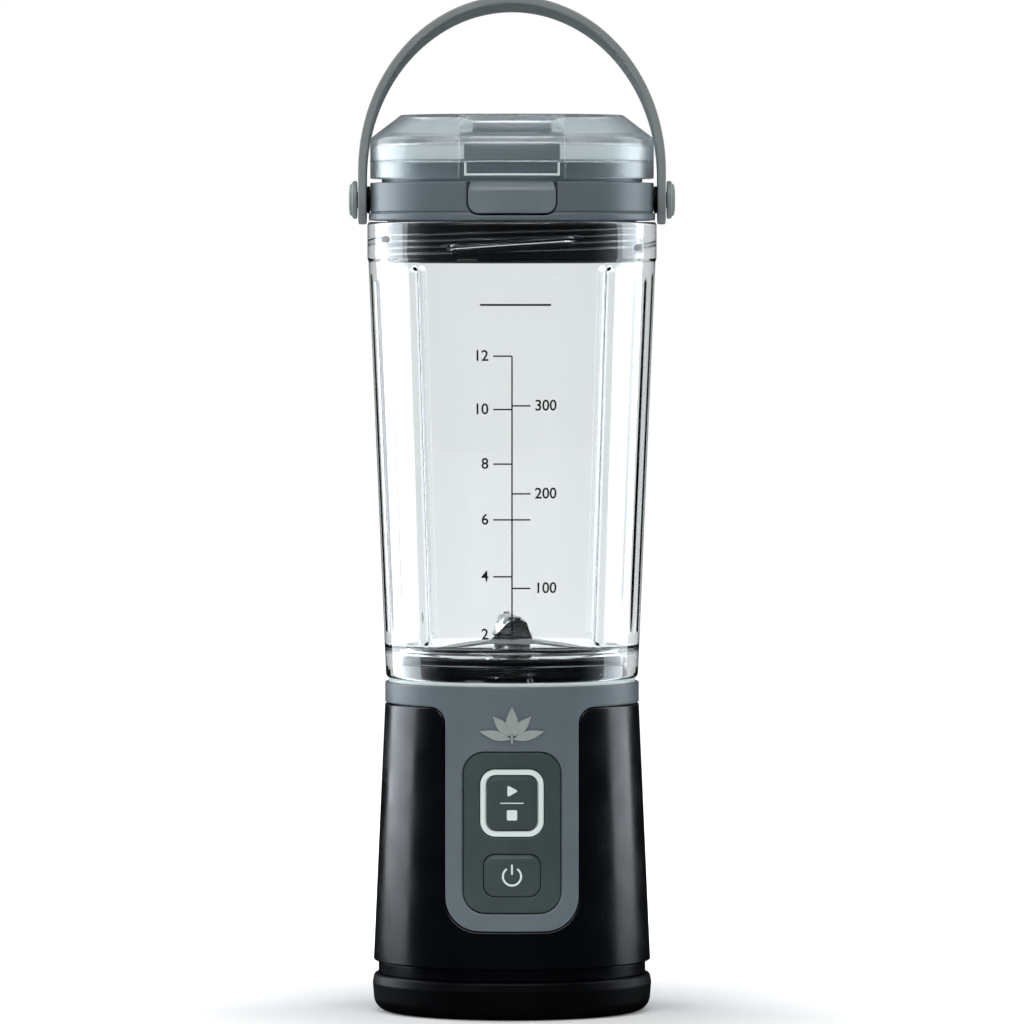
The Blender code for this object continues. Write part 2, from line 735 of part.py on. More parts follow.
def vessel_jar():
    profile = [
        (JAR_BAY_R, JAR_BOTTOM), (JAR_R_BOTTOM - 0.0004, JAR_BOTTOM), (JAR_R_BOTTOM, JAR_BOTTOM + 0.0005),
        (JAR_R_TOP, JAR_SHOULDER), (JAR_NECK_R, JAR_SHOULDER + 0.0010), (JAR_NECK_R, JAR_TOP - 0.0004),
        (JAR_NECK_R - 0.0004, JAR_TOP), (JAR_NECK_INNER_R, JAR_TOP), (JAR_NECK_INNER_R, JAR_SHOULDER),
        (jar_inner_radius(JAR_FLOOR), JAR_FLOOR), (JAR_LEDGE_R, JAR_LEDGE_Z + 0.0010),
        (JAR_LEDGE_R, JAR_LEDGE_Z), (JAR_BAY_R, JAR_LEDGE_Z),
    ]
    jar = solid("vessel_jar", turned(profile, COARSE_TURN))
    for turn in range(4):
        half = RIB_WIDTH / 2
        sections = []
        for z in (RIB_BOTTOM, RIB_TOP):
            back = jar_inner_radius(z) + 0.0012
            front = jar_inner_radius(z) - RIB_DEPTH
            sections.append([(front, -half, z), (back, -half, z), (back, half, z), (front, half, z)])
        spin = Matrix.Rotation(math.radians(45 + 90 * turn), 4, "Z")
        add(jar, moved(swept_section(sections), spin))
    below_base_ridges = VESSEL_RIDGE_Z - VESSEL_RIDGE - GAP
    add(jar, vessel_ridges(PLATFORM_R + 0.0005, JAR_BAY_R + 0.0008, below_base_ridges))
    above_lid_ridges = LID_RIDGE_Z + LID_RIDGE + GAP
    add(jar, lid_ridges(PLUG_R + 0.0006, JAR_NECK_INNER_R + 0.0008, above_lid_ridges))
    return finish(jar, CLEAR_PLASTIC)


# ---------------------------------------------------------------- lid

def cross_pin(radius, half, axis):
    """Rod along X, centred on a hinge axis."""
    return rod(radius, 2 * half, axis - Vector((half, 0.0, 0.0)), "X")


def lid_gasket():
    gasket = tube(0.0394, 0.0375, 0.0007, (0.0, 0.0, JAR_TOP + GAP), segments=COARSE_TURN)
    return finish(solid("lid_gasket", gasket), GREY_RUBBER)


def latch_pocket():
    """Space in the lid's ring that the latch tab works in."""
    width = LATCH_WIDTH + 2 * POCKET_MARGIN
    outline = open_top(width, POCKET_BOTTOM, RING_TOP + 0.0001, LATCH_CORNER + POCKET_MARGIN)
    return prism(outline, -0.050, POCKET_BACK_Y, "Y")


def lid_collar():
    """Plug, lip, ring, dome seat, deck and spout, moulded in one piece."""
    profile = [
        (PLUG_INNER_R, PLUG_BOTTOM), (PLUG_R - 0.0005, PLUG_BOTTOM), (PLUG_R, PLUG_BOTTOM + 0.0005),
        (PLUG_R, 0.2250), (0.0372, 0.2250), (0.0372, 0.2255), (0.0397, 0.2255), (0.0397, LIP_BOTTOM),
        (LIP_R, LIP_BOTTOM), (LIP_R, 0.2272), (LID_RING_R, RING_BOTTOM), (LID_RING_R, 0.2350),
        (LID_RING_R - 0.0004, RING_TOP), (NECK_R, RING_TOP), (NECK_R, 0.2410), (NECK_R - 0.0020, 0.2410),
        (NECK_R - 0.0020, DECK_TOP), (0.0, DECK_TOP), (0.0, DECK_BOTTOM), (PLUG_INNER_R, DECK_BOTTOM),
    ]
    collar = solid("lid_collar", turned(profile, COARSE_TURN))
    add(collar, lid_ridges(PLUG_R - 0.0008, 0.0376, LID_RIDGE_Z))
    add(collar, prism(rounded_rect(*SPOUT_RIM, (0.0, SPOUT_CENTRE_Y)), DECK_TOP - 0.0010, SPOUT_TOP))
    cut(collar, prism(rounded_rect(*SPOUT_HOLE, (0.0, SPOUT_CENTRE_Y)), 0.2300, 0.2500))
    cut(collar, latch_pocket())
    cut(collar, cross_pin(LATCH_PIN_R + GAP, LATCH_PIN_HALF + GAP, LATCH_AXIS))
    cut(collar, rod(0.0015, 0.0020, (0.0, SPRING_PLACE.y - 0.0017, SPRING_PLACE.z), "Y"))
    for axis, side in (("X", 1), ("-X", -1)):
        cut(collar, rod(RIVET_R + GAP, 0.010, (side * 0.0365, 0.0, HANDLE_AXIS.z), axis, MIDDLE_TURN))
    return finish(collar, GREY_PLASTIC)


def dome_shell(segments):
    """Full turned shell that both the fixed dome and the sip flap are parts of."""
    profile = [
        (0.0375, DOME_BOTTOM), (DOME_R, DOME_BOTTOM), (DOME_R, 0.2472), (0.0401, 0.2482),
        (0.0375, 0.2498), (0.0323, 0.2545), (0.0319, DOME_TOP), (0.0, DOME_TOP),
        (0.0, 0.2527), (0.0314, 0.2527), (0.0359, 0.2486), (0.0384, 0.2470),
        (0.0384, 0.2413), (0.0375, 0.2410),
    ]
    return turned(profile, segments)


def dome_cover():
    dome = solid("dome_cover", dome_shell(COARSE_TURN))
    notch = FLAP_HALF_WIDTH + GAP
    back = FLAP_AXIS.y + KNUCKLE_R + GAP
    for side in (-1, 1):
        inner, outer = sorted((side * (notch + 0.0001), side * 0.0185))
        add(dome, block((inner, -0.0118, 0.2506), (outer, -0.0072, 0.2530)))
    cut(dome, block((-notch, -0.060, 0.230), (notch, back, 0.260)))
    cut(dome, cross_pin(FLAP_PIN_R + GAP, FLAP_PIN_HALF + GAP, FLAP_AXIS))
    return finish(dome, SMOKE_PLASTIC)


def flap_hinge_pin():
    return finish(solid("flap_hinge_pin", cross_pin(FLAP_PIN_R, FLAP_PIN_HALF, FLAP_AXIS)), STEEL)


def latch_pin():
    return finish(solid("latch_pin", cross_pin(LATCH_PIN_R, LATCH_PIN_HALF, LATCH_AXIS)), STEEL)


def latch_spring():
    """Compression coil between the lid's ring and the lower half of the latch."""
    turns, steps, corners = 4, 40, 5
    sections = []
    for step in range(steps + 1):
        angle = 2 * math.pi * turns * step / steps
        outward = Vector((math.cos(angle), 0.0, math.sin(angle)))
        centre = SPRING_PLACE + outward * SPRING_R - Vector((0.0, SPRING_LENGTH * step / steps, 0.0))
        ring = []
        for corner in range(corners):
            turn = 2 * math.pi * corner / corners
            across = outward * math.cos(turn) + Vector((0.0, math.sin(turn), 0.0))
            ring.append(centre + across * SPRING_WIRE_R)
        sections.append(ring)
    return finish(solid("latch_spring", swept_section(sections)), STEEL)


def handle_rivet(name, axis, side):
    """Shouldered rivet that the strap turns on, with a domed head outside it."""
    reach = HANDLE_HALF_WIDTH + GAP - RIVET_START
    outline = [
        (0.0, 0.0), (RIVET_R, 0.0), (RIVET_R, reach), (RIVET_HEAD_R, reach),
        (RIVET_HEAD_R, reach + 0.0010), (RIVET_HEAD_R - 0.0006, reach + 0.0018),
        (0.0030, reach + 0.0023), (0.0, reach + 0.0024),
    ]
    place = (side * RIVET_START, 0.0, HANDLE_AXIS.z)
    return finish(solid(name, turned_at(outline, MIDDLE_TURN, place, axis)), GREY_PLASTIC)


def sip_flap():
    """Middle of the dome, hinged at the back and closed over the spout."""
    half = FLAP_HALF_WIDTH
    flap = solid("sip_flap", dome_shell(COARSE_TURN))
    keep_inside(flap, block((-half, -0.060, FLAP_BOTTOM), (half, FLAP_AXIS.y, 0.260)))
    knuckle_start = (-half, FLAP_AXIS.y, FLAP_AXIS.z)
    add(flap, rod(KNUCKLE_R, 2 * half, knuckle_start, "X", MIDDLE_TURN))
    cut(flap, cross_pin(FLAP_PIN_R + GAP, FLAP_HALF_WIDTH + 0.001, FLAP_AXIS))
    return finish(flap, SMOKE_PLASTIC)


def flap_liner():
    outline = rounded_rect(0.0240, 0.0145, 0.0020, (0.0, -0.01975))
    return finish(solid("flap_liner", prism(outline, 0.2483, 0.2524)), GREY_PLASTIC)


def spout_stopper():
    outline = rounded_rect(0.0215, 0.0175, 0.0048, (0.0, SPOUT_CENTRE_Y))
    return finish(solid("spout_stopper", prism(outline, SPOUT_TOP + GAP, 0.2480)), GREY_RUBBER)


def latch():
    """Tab that follows the lid ring's curve, rocking on its cross pin."""
    band = [
        (0.0300, LATCH_BOTTOM - 0.001), (LATCH_R, LATCH_BOTTOM - 0.001), (LATCH_R, LATCH_TOP),
        (0.0300, LATCH_TOP),
    ]
    body = solid("latch", turned(band, COARSE_TURN))
    outline = open_top(LATCH_WIDTH, LATCH_BOTTOM, LATCH_TOP + 0.0010, LATCH_CORNER)
    keep_inside(body, prism(outline, -0.050, LATCH_BACK_Y, "Y"))
    bevel = [(-0.0420, LATCH_TOP - 0.0018), (-0.0392, LATCH_TOP + 0.0010), (-0.0420, LATCH_TOP + 0.0010)]
    cut(body, prism(bevel, -0.030, 0.030, "X"))
    cut(body, block((-0.020, -0.0376, 0.2349), (0.020, -0.030, 0.240)))
    cut(body, cross_pin(LATCH_PIN_R + GAP, LATCH_WIDTH, LATCH_AXIS))
    cut(body, rod(0.0015, 0.0060, (0.0, -0.0385, SPRING_PLACE.z), "Y"))
    return finish(body, GREY_PLASTIC)


def strap_arch(half_width, crown):
    """Half-ellipse from the left leg's top to the right leg's top, seen from the front."""
    points = []
    for step in range(33):
        angle = math.radians(180 - 180 * step / 32)
        height = HANDLE_LEG_TOP + (crown - HANDLE_LEG_TOP) * math.sin(angle)
        points.append((half_width * math.cos(angle), height))
    return points


def handle_strap():
    foot = -HANDLE_DEPTH / 2
    outer = strap_arch(HANDLE_HALF_WIDTH, HANDLE_CROWN)
    inner = strap_arch(HANDLE_HALF_WIDTH - HANDLE_THICKNESS, HANDLE_CROWN - HANDLE_THICKNESS)
    inner_half = HANDLE_HALF_WIDTH - HANDLE_THICKNESS
    outline = [(-HANDLE_HALF_WIDTH, foot)] + outer + [(HANDLE_HALF_WIDTH, foot), (inner_half, foot)]
    outline += inner[::-1] + [(-inner_half, foot)]
    strap = solid("handle_strap", prism(outline, -HANDLE_DEPTH / 2, HANDLE_DEPTH / 2, "Y"))
    side = [(HANDLE_DEPTH / 2 * math.cos(a), HANDLE_DEPTH / 2 * math.sin(a))
            for a in (math.radians(180 + 180 * step / 12) for step in range(13))]
    side += [(HANDLE_DEPTH / 2, 0.080), (-HANDLE_DEPTH / 2, 0.080)]
    keep_inside(strap, prism(side, -0.060, 0.060, "X"))
    cut(strap, rod(RIVET_R + GAP, 0.120, (-0.060, 0.0, 0.0), "X", MIDDLE_TURN))
    place = Matrix.Translation(HANDLE_AXIS) @ Matrix.Rotation(-HANDLE_LEAN, 4, "X")
    strap.data.transform(place)
    return finish(strap, GREY_PLASTIC)


# ---------------------------------------------------------------- assembly

def frame_empty(name, place, parent=None):
    """Empty on a joint's axis, which its moving pieces hang from."""
    empty = bpy.data.objects.new(name, None)
    empty.empty_display_size = 0.01
    bpy.context.scene.collection.objects.link(empty)
    empty.parent = parent
    base = parent["place"] if parent else (0.0, 0.0, 0.0)
    empty.location = [place[i] - base[i] for i in range(3)]
    empty["place"] = tuple(place)
    return empty


def hang(empty, *bodies):
    """Move each body's origin onto the empty and parent it there."""
    shift = Matrix.Translation([-value for value in empty["place"]])
    for body in bodies:
        body.data.transform(shift)
        body.parent = empty


def make_base(frame):
    hang(
        frame, foot_boot(), bottom_cover(), housing(), collar_fascia(), control_panel(), light_ring(),
        button_board(), switch("start_switch", START_Z), switch("power_switch", POWER_Z), motor_can(),
        motor_endcap(), motor_magnet("motor_magnet_left", -1), motor_magnet("motor_magnet_right", 1),
        motor_mount(), bearing("lower_bearing", 0.0285, 0.0055), bearing("upper_bearing", 0.0905, 0.0060),
        shaft_seal(), blade_platform(), battery_cell("battery_cell_left", -1),
        battery_cell("battery_cell_right", 1), battery_tray(), main_board(), charging_port(),
        mount_screw("mount_screw_left", -1), mount_screw("mount_screw_right", 1),
    )
    for number, place in enumerate(screw_places(), 1):
        hang(frame, base_screw(f"base_screw_{number}", place))


def make_controls(base):
    start = frame_empty("start_button_frame", (0.0, -sleeve_radius(START_Z), START_Z), base)
    hang(start, button("start_button", START_SIZE, START_Z, DARK_GREY_PLASTIC))
    power = frame_empty("power_button_frame", (0.0, -sleeve_radius(POWER_Z), POWER_Z), base)
    hang(power, button("power_button", POWER_SIZE, POWER_Z, DARK_GREY_PLASTIC))
    lower_edge = PORT_Z - PORT_FLAP_SIZE[1] / 2
    port = frame_empty("port_flap_frame", (0.0, sleeve_radius(lower_edge), lower_edge), base)
    hang(port, port_flap())


def make_rotor(base):
    rotor = frame_empty("rotor_frame", (0.0, 0.0, HUB_BOTTOM), base)
    lower = blade("lower_blade", LOWER_BLADE_Z, LOWER_BLADE_REACH, LOWER_BLADE_RISE, 0.0)
    quarter = math.radians(90)
    upper = blade("upper_blade", UPPER_BLADE_Z, UPPER_BLADE_REACH, UPPER_BLADE_RISE, quarter)
    hang(rotor, motor_rotor(), motor_shaft(), blade_hub(), lower, upper, blade_nut())


def make_vessel(base):
    vessel = frame_empty("vessel_frame", (0.0, 0.0, JAR_BOTTOM), base)
    hang(vessel, vessel_gasket(), vessel_jar())
    return vessel


def make_lid(vessel):
    lid = frame_empty("lid_frame", (0.0, 0.0, LIP_BOTTOM), vessel)
    hang(
        lid, lid_gasket(), lid_collar(), dome_cover(), flap_hinge_pin(), latch_pin(), latch_spring(),
        handle_rivet("handle_rivet_left", "-X", -1), handle_rivet("handle_rivet_right", "X", 1),
    )
    hang(frame_empty("flap_frame", FLAP_AXIS, lid), sip_flap(), flap_liner(), spout_stopper())
    hang(frame_empty("latch_frame", LATCH_AXIS, lid), latch())
    hang(frame_empty("handle_frame", HANDLE_AXIS, lid), handle_strap())


def main():
    for stale in list(bpy.data.objects):
        bpy.data.objects.remove(stale)
    base = frame_empty("base_frame", (0.0, 0.0, 0.0))
    make_base(base)
    make_controls(base)
    make_rotor(base)
    make_lid(make_vessel(base))
    base.location.z = FOOT_DEPTH


main()
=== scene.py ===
"""Looks of the portable cordless blender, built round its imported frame.

Metres, +Z up, front at -Y. Turned pieces share the upright Z axis. Pieces of the tapered wall are
made flat, as outlines in (u, v) with a thickness w, and then bent round the axis. Heights are
given from a datum LIFT above the foot's underside, and put_on() lifts each piece by as much.
"""
import json
import math

import bmesh
import bpy
import numpy as np
from mathutils import Matrix, Vector


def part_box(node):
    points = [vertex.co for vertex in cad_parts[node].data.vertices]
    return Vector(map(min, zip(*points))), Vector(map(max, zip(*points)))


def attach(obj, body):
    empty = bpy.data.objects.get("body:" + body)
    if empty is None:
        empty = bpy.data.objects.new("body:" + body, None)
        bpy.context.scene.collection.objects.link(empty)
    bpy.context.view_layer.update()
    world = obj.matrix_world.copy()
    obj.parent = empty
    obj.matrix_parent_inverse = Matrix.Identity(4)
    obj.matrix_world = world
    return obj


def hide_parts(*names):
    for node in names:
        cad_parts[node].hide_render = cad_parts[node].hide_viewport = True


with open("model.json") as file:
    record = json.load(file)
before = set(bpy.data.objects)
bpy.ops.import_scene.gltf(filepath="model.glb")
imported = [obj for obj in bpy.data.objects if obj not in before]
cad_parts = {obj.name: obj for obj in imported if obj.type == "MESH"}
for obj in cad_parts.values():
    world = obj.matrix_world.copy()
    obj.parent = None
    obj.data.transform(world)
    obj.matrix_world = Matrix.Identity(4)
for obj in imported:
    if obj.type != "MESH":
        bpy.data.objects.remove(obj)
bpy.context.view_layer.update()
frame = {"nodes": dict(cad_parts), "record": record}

MM = 0.001
LIFT = 1.3 * MM
TAU = 2 * math.pi
QUARTER = math.pi / 2
GAP = 0.3 * MM
FINE = 224
SMOOTH_ANGLE = math.radians(32)


def mm(*sizes):
    """Sizes in millimetres, as metres."""
    return tuple(size * MM for size in sizes)


# ---------------------------------------------------------------- sizes read from the frame

def box(node):
    """Lowest and highest corners of a CAD node at rest, as heights from the datum."""
    low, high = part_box(node)
    datum = Vector((0.0, 0.0, LIFT))
    return low - datum, high - datum


def widest(node, low=-1.0, high=1.0):
    """Largest distance from the upright axis of a CAD node's points between two heights."""
    points = np.array([v.co for v in frame["nodes"][node].data.vertices]) - (0.0, 0.0, LIFT)
    band = points[(points[:, 2] >= low) & (points[:, 2] <= high)]
    return float(np.hypot(band[:, 0], band[:, 1]).max())


def base_z(node):
    return box(node)[0].z


def top_z(node):
    return box(node)[1].z


def middle(node):
    low, high = box(node)
    return (low + high) / 2


def extent(node):
    low, high = box(node)
    return high - low


SLEEVE_LOW, SLEEVE_TOP = base_z("housing"), top_z("housing")
SLEEVE_R_LOW = widest("housing", high=SLEEVE_LOW + MM)
SLEEVE_R_TOP = widest("housing", low=SLEEVE_TOP - MM)
COLLAR_TOP = top_z("collar_fascia")
COLLAR_R = widest("collar_fascia", low=COLLAR_TOP - MM)
JAR_LOW, JAR_TOP = base_z("vessel_jar"), top_z("vessel_jar")
JAR_NECK_R = widest("vessel_jar")
JAR_R_LOW = widest("vessel_jar", high=JAR_LOW + MM)
RING_R = widest("dome_cover")
DOME_LOW, DOME_TOP = base_z("dome_cover"), top_z("dome_cover")

# Jar wall, which the frame holds only as facets
SHOULDER = JAR_TOP - 11.2 * MM
JAR_R_SHOULDER = JAR_NECK_R - 0.3 * MM
NECK_INNER_R = JAR_NECK_R - 3.2 * MM
FLOOR = JAR_LOW + 9.5 * MM
FLOOR_R = 33.3 * MM
BAY_R = 33.0 * MM
LEDGE = JAR_LOW + 7.1 * MM
LEDGE_R = 31.2 * MM

# Screw ridges: ridge arc, rise in one turn, lowest point and thickness, on the base and the lid
BASE_RIDGE = (math.radians(22), *mm(24.0, 95.5, 1.3))
LID_RIDGE = (math.radians(60), *mm(16.0, 214.6, 1.2))

WRAP_R = 38.0 * MM


# ---------------------------------------------------------------- meshes

def smooth_step(edge, soft, value):
    """0 below the edge and 1 above it, softened over a width."""
    t = min(1.0, max(0.0, (value - edge) / soft + 0.5))
    return t * t * (3 - 2 * t)


def shape_of(name, shape):
    """Turn a bmesh into an object with outward faces and face-weighted smooth shading."""
    bmesh.ops.recalc_face_normals(shape, faces=shape.faces)
    mesh = bpy.data.meshes.new(name)
    shape.to_mesh(mesh)
    shape.free()
    return soften(link_new(name, mesh))


def link_new(name, data):
    made = bpy.data.objects.new(name, data)
    bpy.context.scene.collection.objects.link(made)
    return made


def soften(piece, angle=SMOOTH_ANGLE):
    piece.data.shade_smooth()
    piece.data.set_sharp_from_angle(angle=angle)
    if "even_normals" not in piece.modifiers:
        modifier = piece.modifiers.new("even_normals", "WEIGHTED_NORMAL")
        modifier.keep_sharp = True
    return piece


def arc(cx, cy, radius, start, end, steps):
    """Points along a circle between two angles in degrees."""
    angles = [math.radians(start + (end - start) * step / steps) for step in range(steps + 1)]
    return [(cx + radius * math.cos(a), cy + radius * math.sin(a)) for a in angles]


def rounded(corners, steps=5):
    """Closed outline through (x, y, fillet) corners, with each fillet as an arc."""
    outline = []
    count = len(corners)
    for index, (x, y, fillet) in enumerate(corners):
        here = Vector((x, y))
        if not fillet:
            outline.append((x, y))
            continue
        before = Vector(corners[index - 1][:2]) - here
        after = Vector(corners[(index + 1) % count][:2]) - here
        half = before.angle(after) / 2
        reach = min(fillet / math.tan(half), 0.48 * before.length, 0.48 * after.length)
        before.normalize()
        after.normalize()
        radius = reach * math.tan(half)
        centre = here + (before + after).normalized() * (radius / math.sin(half))
        start = here + before * reach - centre
        end = here + after * reach - centre
        for step in range(steps + 1):
            point = centre + start.slerp(end, step / steps) * radius
            outline.append((point.x, point.y))
    return outline


def even_angles(count=FINE):
    return [TAU * step / count for step in range(count)]


def circle(radius, count):
    return [(radius * math.cos(a), radius * math.sin(a)) for a in even_angles(count)]


def lathe(name, section, angles=None):
    """Revolve a closed (radius, height) outline, which may be a function of the angle."""
    angles = angles or even_angles()
    shape = bmesh.new()
    columns = []
    poles = {}
    for angle in angles:
        outline = section(angle) if callable(section) else section
        column = []
        for index, (radius, height) in enumerate(outline):
            if radius < 1e-7:
                if index not in poles:
                    poles[index] = shape.verts.new((0.0, 0.0, height))
                column.append(poles[index])
            else:
                place = (radius * math.cos(angle), radius * math.sin(angle), height)
                column.append(shape.verts.new(place))
        columns.append(column)
    for column, following in zip(columns, columns[1:] + columns[:1]):
        for index in range(len(column)):
            nearby = (index + 1) % len(column)
            corners = [column[index], following[index], following[nearby], column[nearby]]
            distinct = list(dict.fromkeys(corners))
            if len(distinct) > 2:
                shape.faces.new(distinct)
    return shape_of(name, shape)


def plate(name, outlines, low, high, bevel, across=None, along=None, steps=3):
    """Plate in (u, v) from w = low to w = high with rounded edges, as a bmesh.

    The first outline is the edge and the others are holes. It is sliced across u and along v at
    the spacings given, so that it can be bent.
    """
    curve = bpy.data.curves.new(name, "CURVE")
    curve.dimensions = "2D"
    curve.fill_mode = "BOTH"
    curve.extrude = (high - low) / 2 - bevel
    curve.bevel_depth = bevel
    curve.bevel_resolution = steps
    curve.offset = -bevel
    for outline in outlines:
        spline = curve.splines.new("POLY")
        spline.points.add(len(outline) - 1)
        for point, (u, v) in zip(spline.points, outline):
            point.co = (u, v, 0.0, 1.0)
        spline.use_cyclic_u = True
    return shape_from_curve(curve, (high + low) / 2, across, along)


def flat_piece(name, *layout):
    return shape_of(name, plate(name, *layout))


def shape_from_curve(curve, lift, across=None, along=None):
    """Mesh of a filled curve, moved up by lift, joined up and sliced."""
    holder = link_new(curve.name, curve)
    graph = bpy.context.evaluated_depsgraph_get()
    mesh = bpy.data.meshes.new_from_object(holder.evaluated_get(graph))
    shape = bmesh.new()
    shape.from_mesh(mesh)
    bpy.data.objects.remove(holder)
    bpy.data.curves.remove(curve)
    bpy.data.meshes.remove(mesh)
    bmesh.ops.remove_doubles(shape, verts=shape.verts, dist=2e-6)
    bmesh.ops.translate(shape, vec=(0.0, 0.0, lift), verts=shape.verts)
    for axis, spacing in ((0, across), (1, along)):
        if spacing:
            slice_along(shape, axis, spacing)
    return shape


def slice_along(shape, axis, spacing):
    """Cut a shape by evenly spaced planes across one of its axes."""
    values = [v.co[axis] for v in shape.verts]
    normal = Vector([1.0 if index == axis else 0.0 for index in range(3)])
    first = math.floor(min(values) / spacing) + 1
    last = math.ceil(max(values) / spacing)
    for step in range(first, last):
        cut_at(shape, normal * (step * spacing), normal)


def cut_at(shape, place, normal, drop=False):
    geometry = shape.verts[:] + shape.edges[:] + shape.faces[:]
    bmesh.ops.bisect_plane(shape, geom=geometry, dist=1e-7, plane_co=place, plane_no=normal,
                           clear_outer=drop)


def reshape(shape, rule):
    """Move every point of a flat shape by a rule of its (u, v, w)."""
    for vertex in shape.verts:
        vertex.co = rule(*vertex.co)
    return shape


def round_axis(angle, distance, z):
    """Point at an angle from the front, a distance from the upright axis."""
    return (distance * math.sin(angle), -distance * math.cos(angle), z)


def wrap(shape, radius, turn=0.0):
    """Bend a flat shape round the upright axis, w outward from radius(height)."""
    return reshape(shape, lambda u, v, w: round_axis(u / WRAP_R + turn, radius(v) + w, v))


def boolean(piece, tool, operation):
    """Apply one exact Boolean and drop the tool."""
    modifier = piece.modifiers.new("combine", "BOOLEAN")
    modifier.operation = operation
    modifier.object = tool
    piece.modifiers.remove(piece.modifiers["even_normals"])
    graph = bpy.context.evaluated_depsgraph_get()
    mesh = bpy.data.meshes.new_from_object(piece.evaluated_get(graph))
    piece.modifiers.clear()
    piece.data = mesh
    bpy.data.objects.remove(tool)
    return soften(piece)


def upright(name, shape):
    """Stand a flat shape up, so that its thickness runs along Y."""
    return shape_of(name, reshape(shape, lambda u, v, w: (u, w, v)))


def box_shape(low, high):
    """Plain cutter between two corners."""
    shape = bmesh.new()
    bmesh.ops.create_cube(shape, size=1.0)
    low, high = Vector(low), Vector(high)
    bmesh.ops.scale(shape, vec=high - low, verts=shape.verts)
    bmesh.ops.translate(shape, vec=(high + low) / 2, verts=shape.verts)
    return shape_of("cutter", shape)


def moved(piece, matrix):
    piece.data.transform(matrix)
    return piece


def rounded_rect(width, height, corner, centre=(0.0, 0.0), steps=8):
    """Outline of a rectangle with round corners, anticlockwise."""
    x, y = width / 2, height / 2
    corners = [(x, y), (-x, y), (-x, -y), (x, -y)]
    return rounded([(centre[0] + a, centre[1] + b, corner) for a, b in corners], steps)


# ---------------------------------------------------------------- the tapered wall

def wall_radius(z):
    """Outside of the sleeve, carried on straight up past its top as the collar."""
    if z >= SLEEVE_TOP:
        return COLLAR_R
    risen = (z - SLEEVE_LOW) / (SLEEVE_TOP - SLEEVE_LOW)
    return SLEEVE_R_LOW + (SLEEVE_R_TOP + 0.1 * MM - SLEEVE_R_LOW) * risen


def jar_radius(z):
    risen = (z - JAR_LOW) / (SHOULDER - JAR_LOW)
    return JAR_R_LOW + (JAR_R_SHOULDER - JAR_R_LOW) * risen


def on_wall(points, radius=wall_radius):
    """Front-view outline (x, z) as unrolled (u, v)."""
    return [(math.asin(x / radius(z)) * WRAP_R, z) for x, z in points]


def front_plate(name, outlines, back, front, bevel, radius=wall_radius, along=None, steps=3):
    """Rounded plate that follows the front of a round wall."""
    outlines = [on_wall(outline, radius) for outline in outlines]
    shape = plate(name, outlines, back, front, bevel, 0.8 * MM, along, steps)
    return shape_of(name, wrap(shape, radius))


def trim_to_turn(shape):
    """Cut off what overruns half a turn on either side of the front."""
    for side in (1.0, -1.0):
        normal = Vector((side, 0.0, 0.0))
        cut_at(shape, normal * (math.pi * WRAP_R), normal, drop=True)


def close_seam(shape):
    bmesh.ops.remove_doubles(shape, verts=shape.verts, dist=5e-6)


def full_band(name, outline, back, front, bevel, radius, along=None):
    """Rounded plate whose unrolled outline overruns one turn, closed into a ring at the back."""
    shape = plate(name, [outline], back, front, bevel, 1.3 * MM, along)
    trim_to_turn(shape)
    wrap(shape, radius)
    close_seam(shape)
    return shape_of(name, shape)


def open_top(width, bottom, top, corner, flare=0.0):
    """Round-bottomed tongue from its left top to its right top, as front-view points."""
    half = width / 2
    right = arc(half - corner, bottom + corner, corner, -90, 0, 10)
    if flare:
        right += arc(half + flare, top - flare, flare, 180, 90, 8)
    else:
        right.append((half, top))
    left = [(-x, z) for x, z in reversed(right)]
    return left + right


# ---------------------------------------------------------------- materials

def node(tree, kind, inputs=(), **settings):
    made = tree.nodes.new("ShaderNode" + kind)
    for name, value in settings.items():
        setattr(made, name, value)
    for name, value in dict(inputs).items():
        if isinstance(value, bpy.types.NodeSocket):
            tree.links.new(value, made.inputs[name])
        else:
            made.inputs[name].default_value = value
    return made


def noise(tree, scale, detail=3.0, stretch=(1.0, 1.0, 1.0)):
    """Noise over the object's own space, stretched along its axes."""
    place = node(tree, "TexCoord").outputs["Object"]
    mapping = node(tree, "Mapping", {"Vector": place, "Scale": stretch})
    made = node(tree, "TexNoise", {"Vector": mapping.outputs[0], "Scale": scale, "Detail": detail})
    return made.outputs["Fac"]


def blend_colours(tree, factor, first, second):
    mix = node(tree, "Mix", data_type="RGBA")
    tree.links.new(factor, mix.inputs["Factor"])
    mix.inputs["A"].default_value = (*first, 1.0)
    mix.inputs["B"].default_value = (*second, 1.0)
    return mix.outputs["Result"]


def spread(tree, factor, low, high):
    """Map noise, which keeps near its middle, onto a range."""
    made = node(tree, "MapRange", {"Value": factor, "From Min": 0.3, "From Max": 0.7,
                                   "To Min": low, "To Max": high})
    return made.outputs[0]


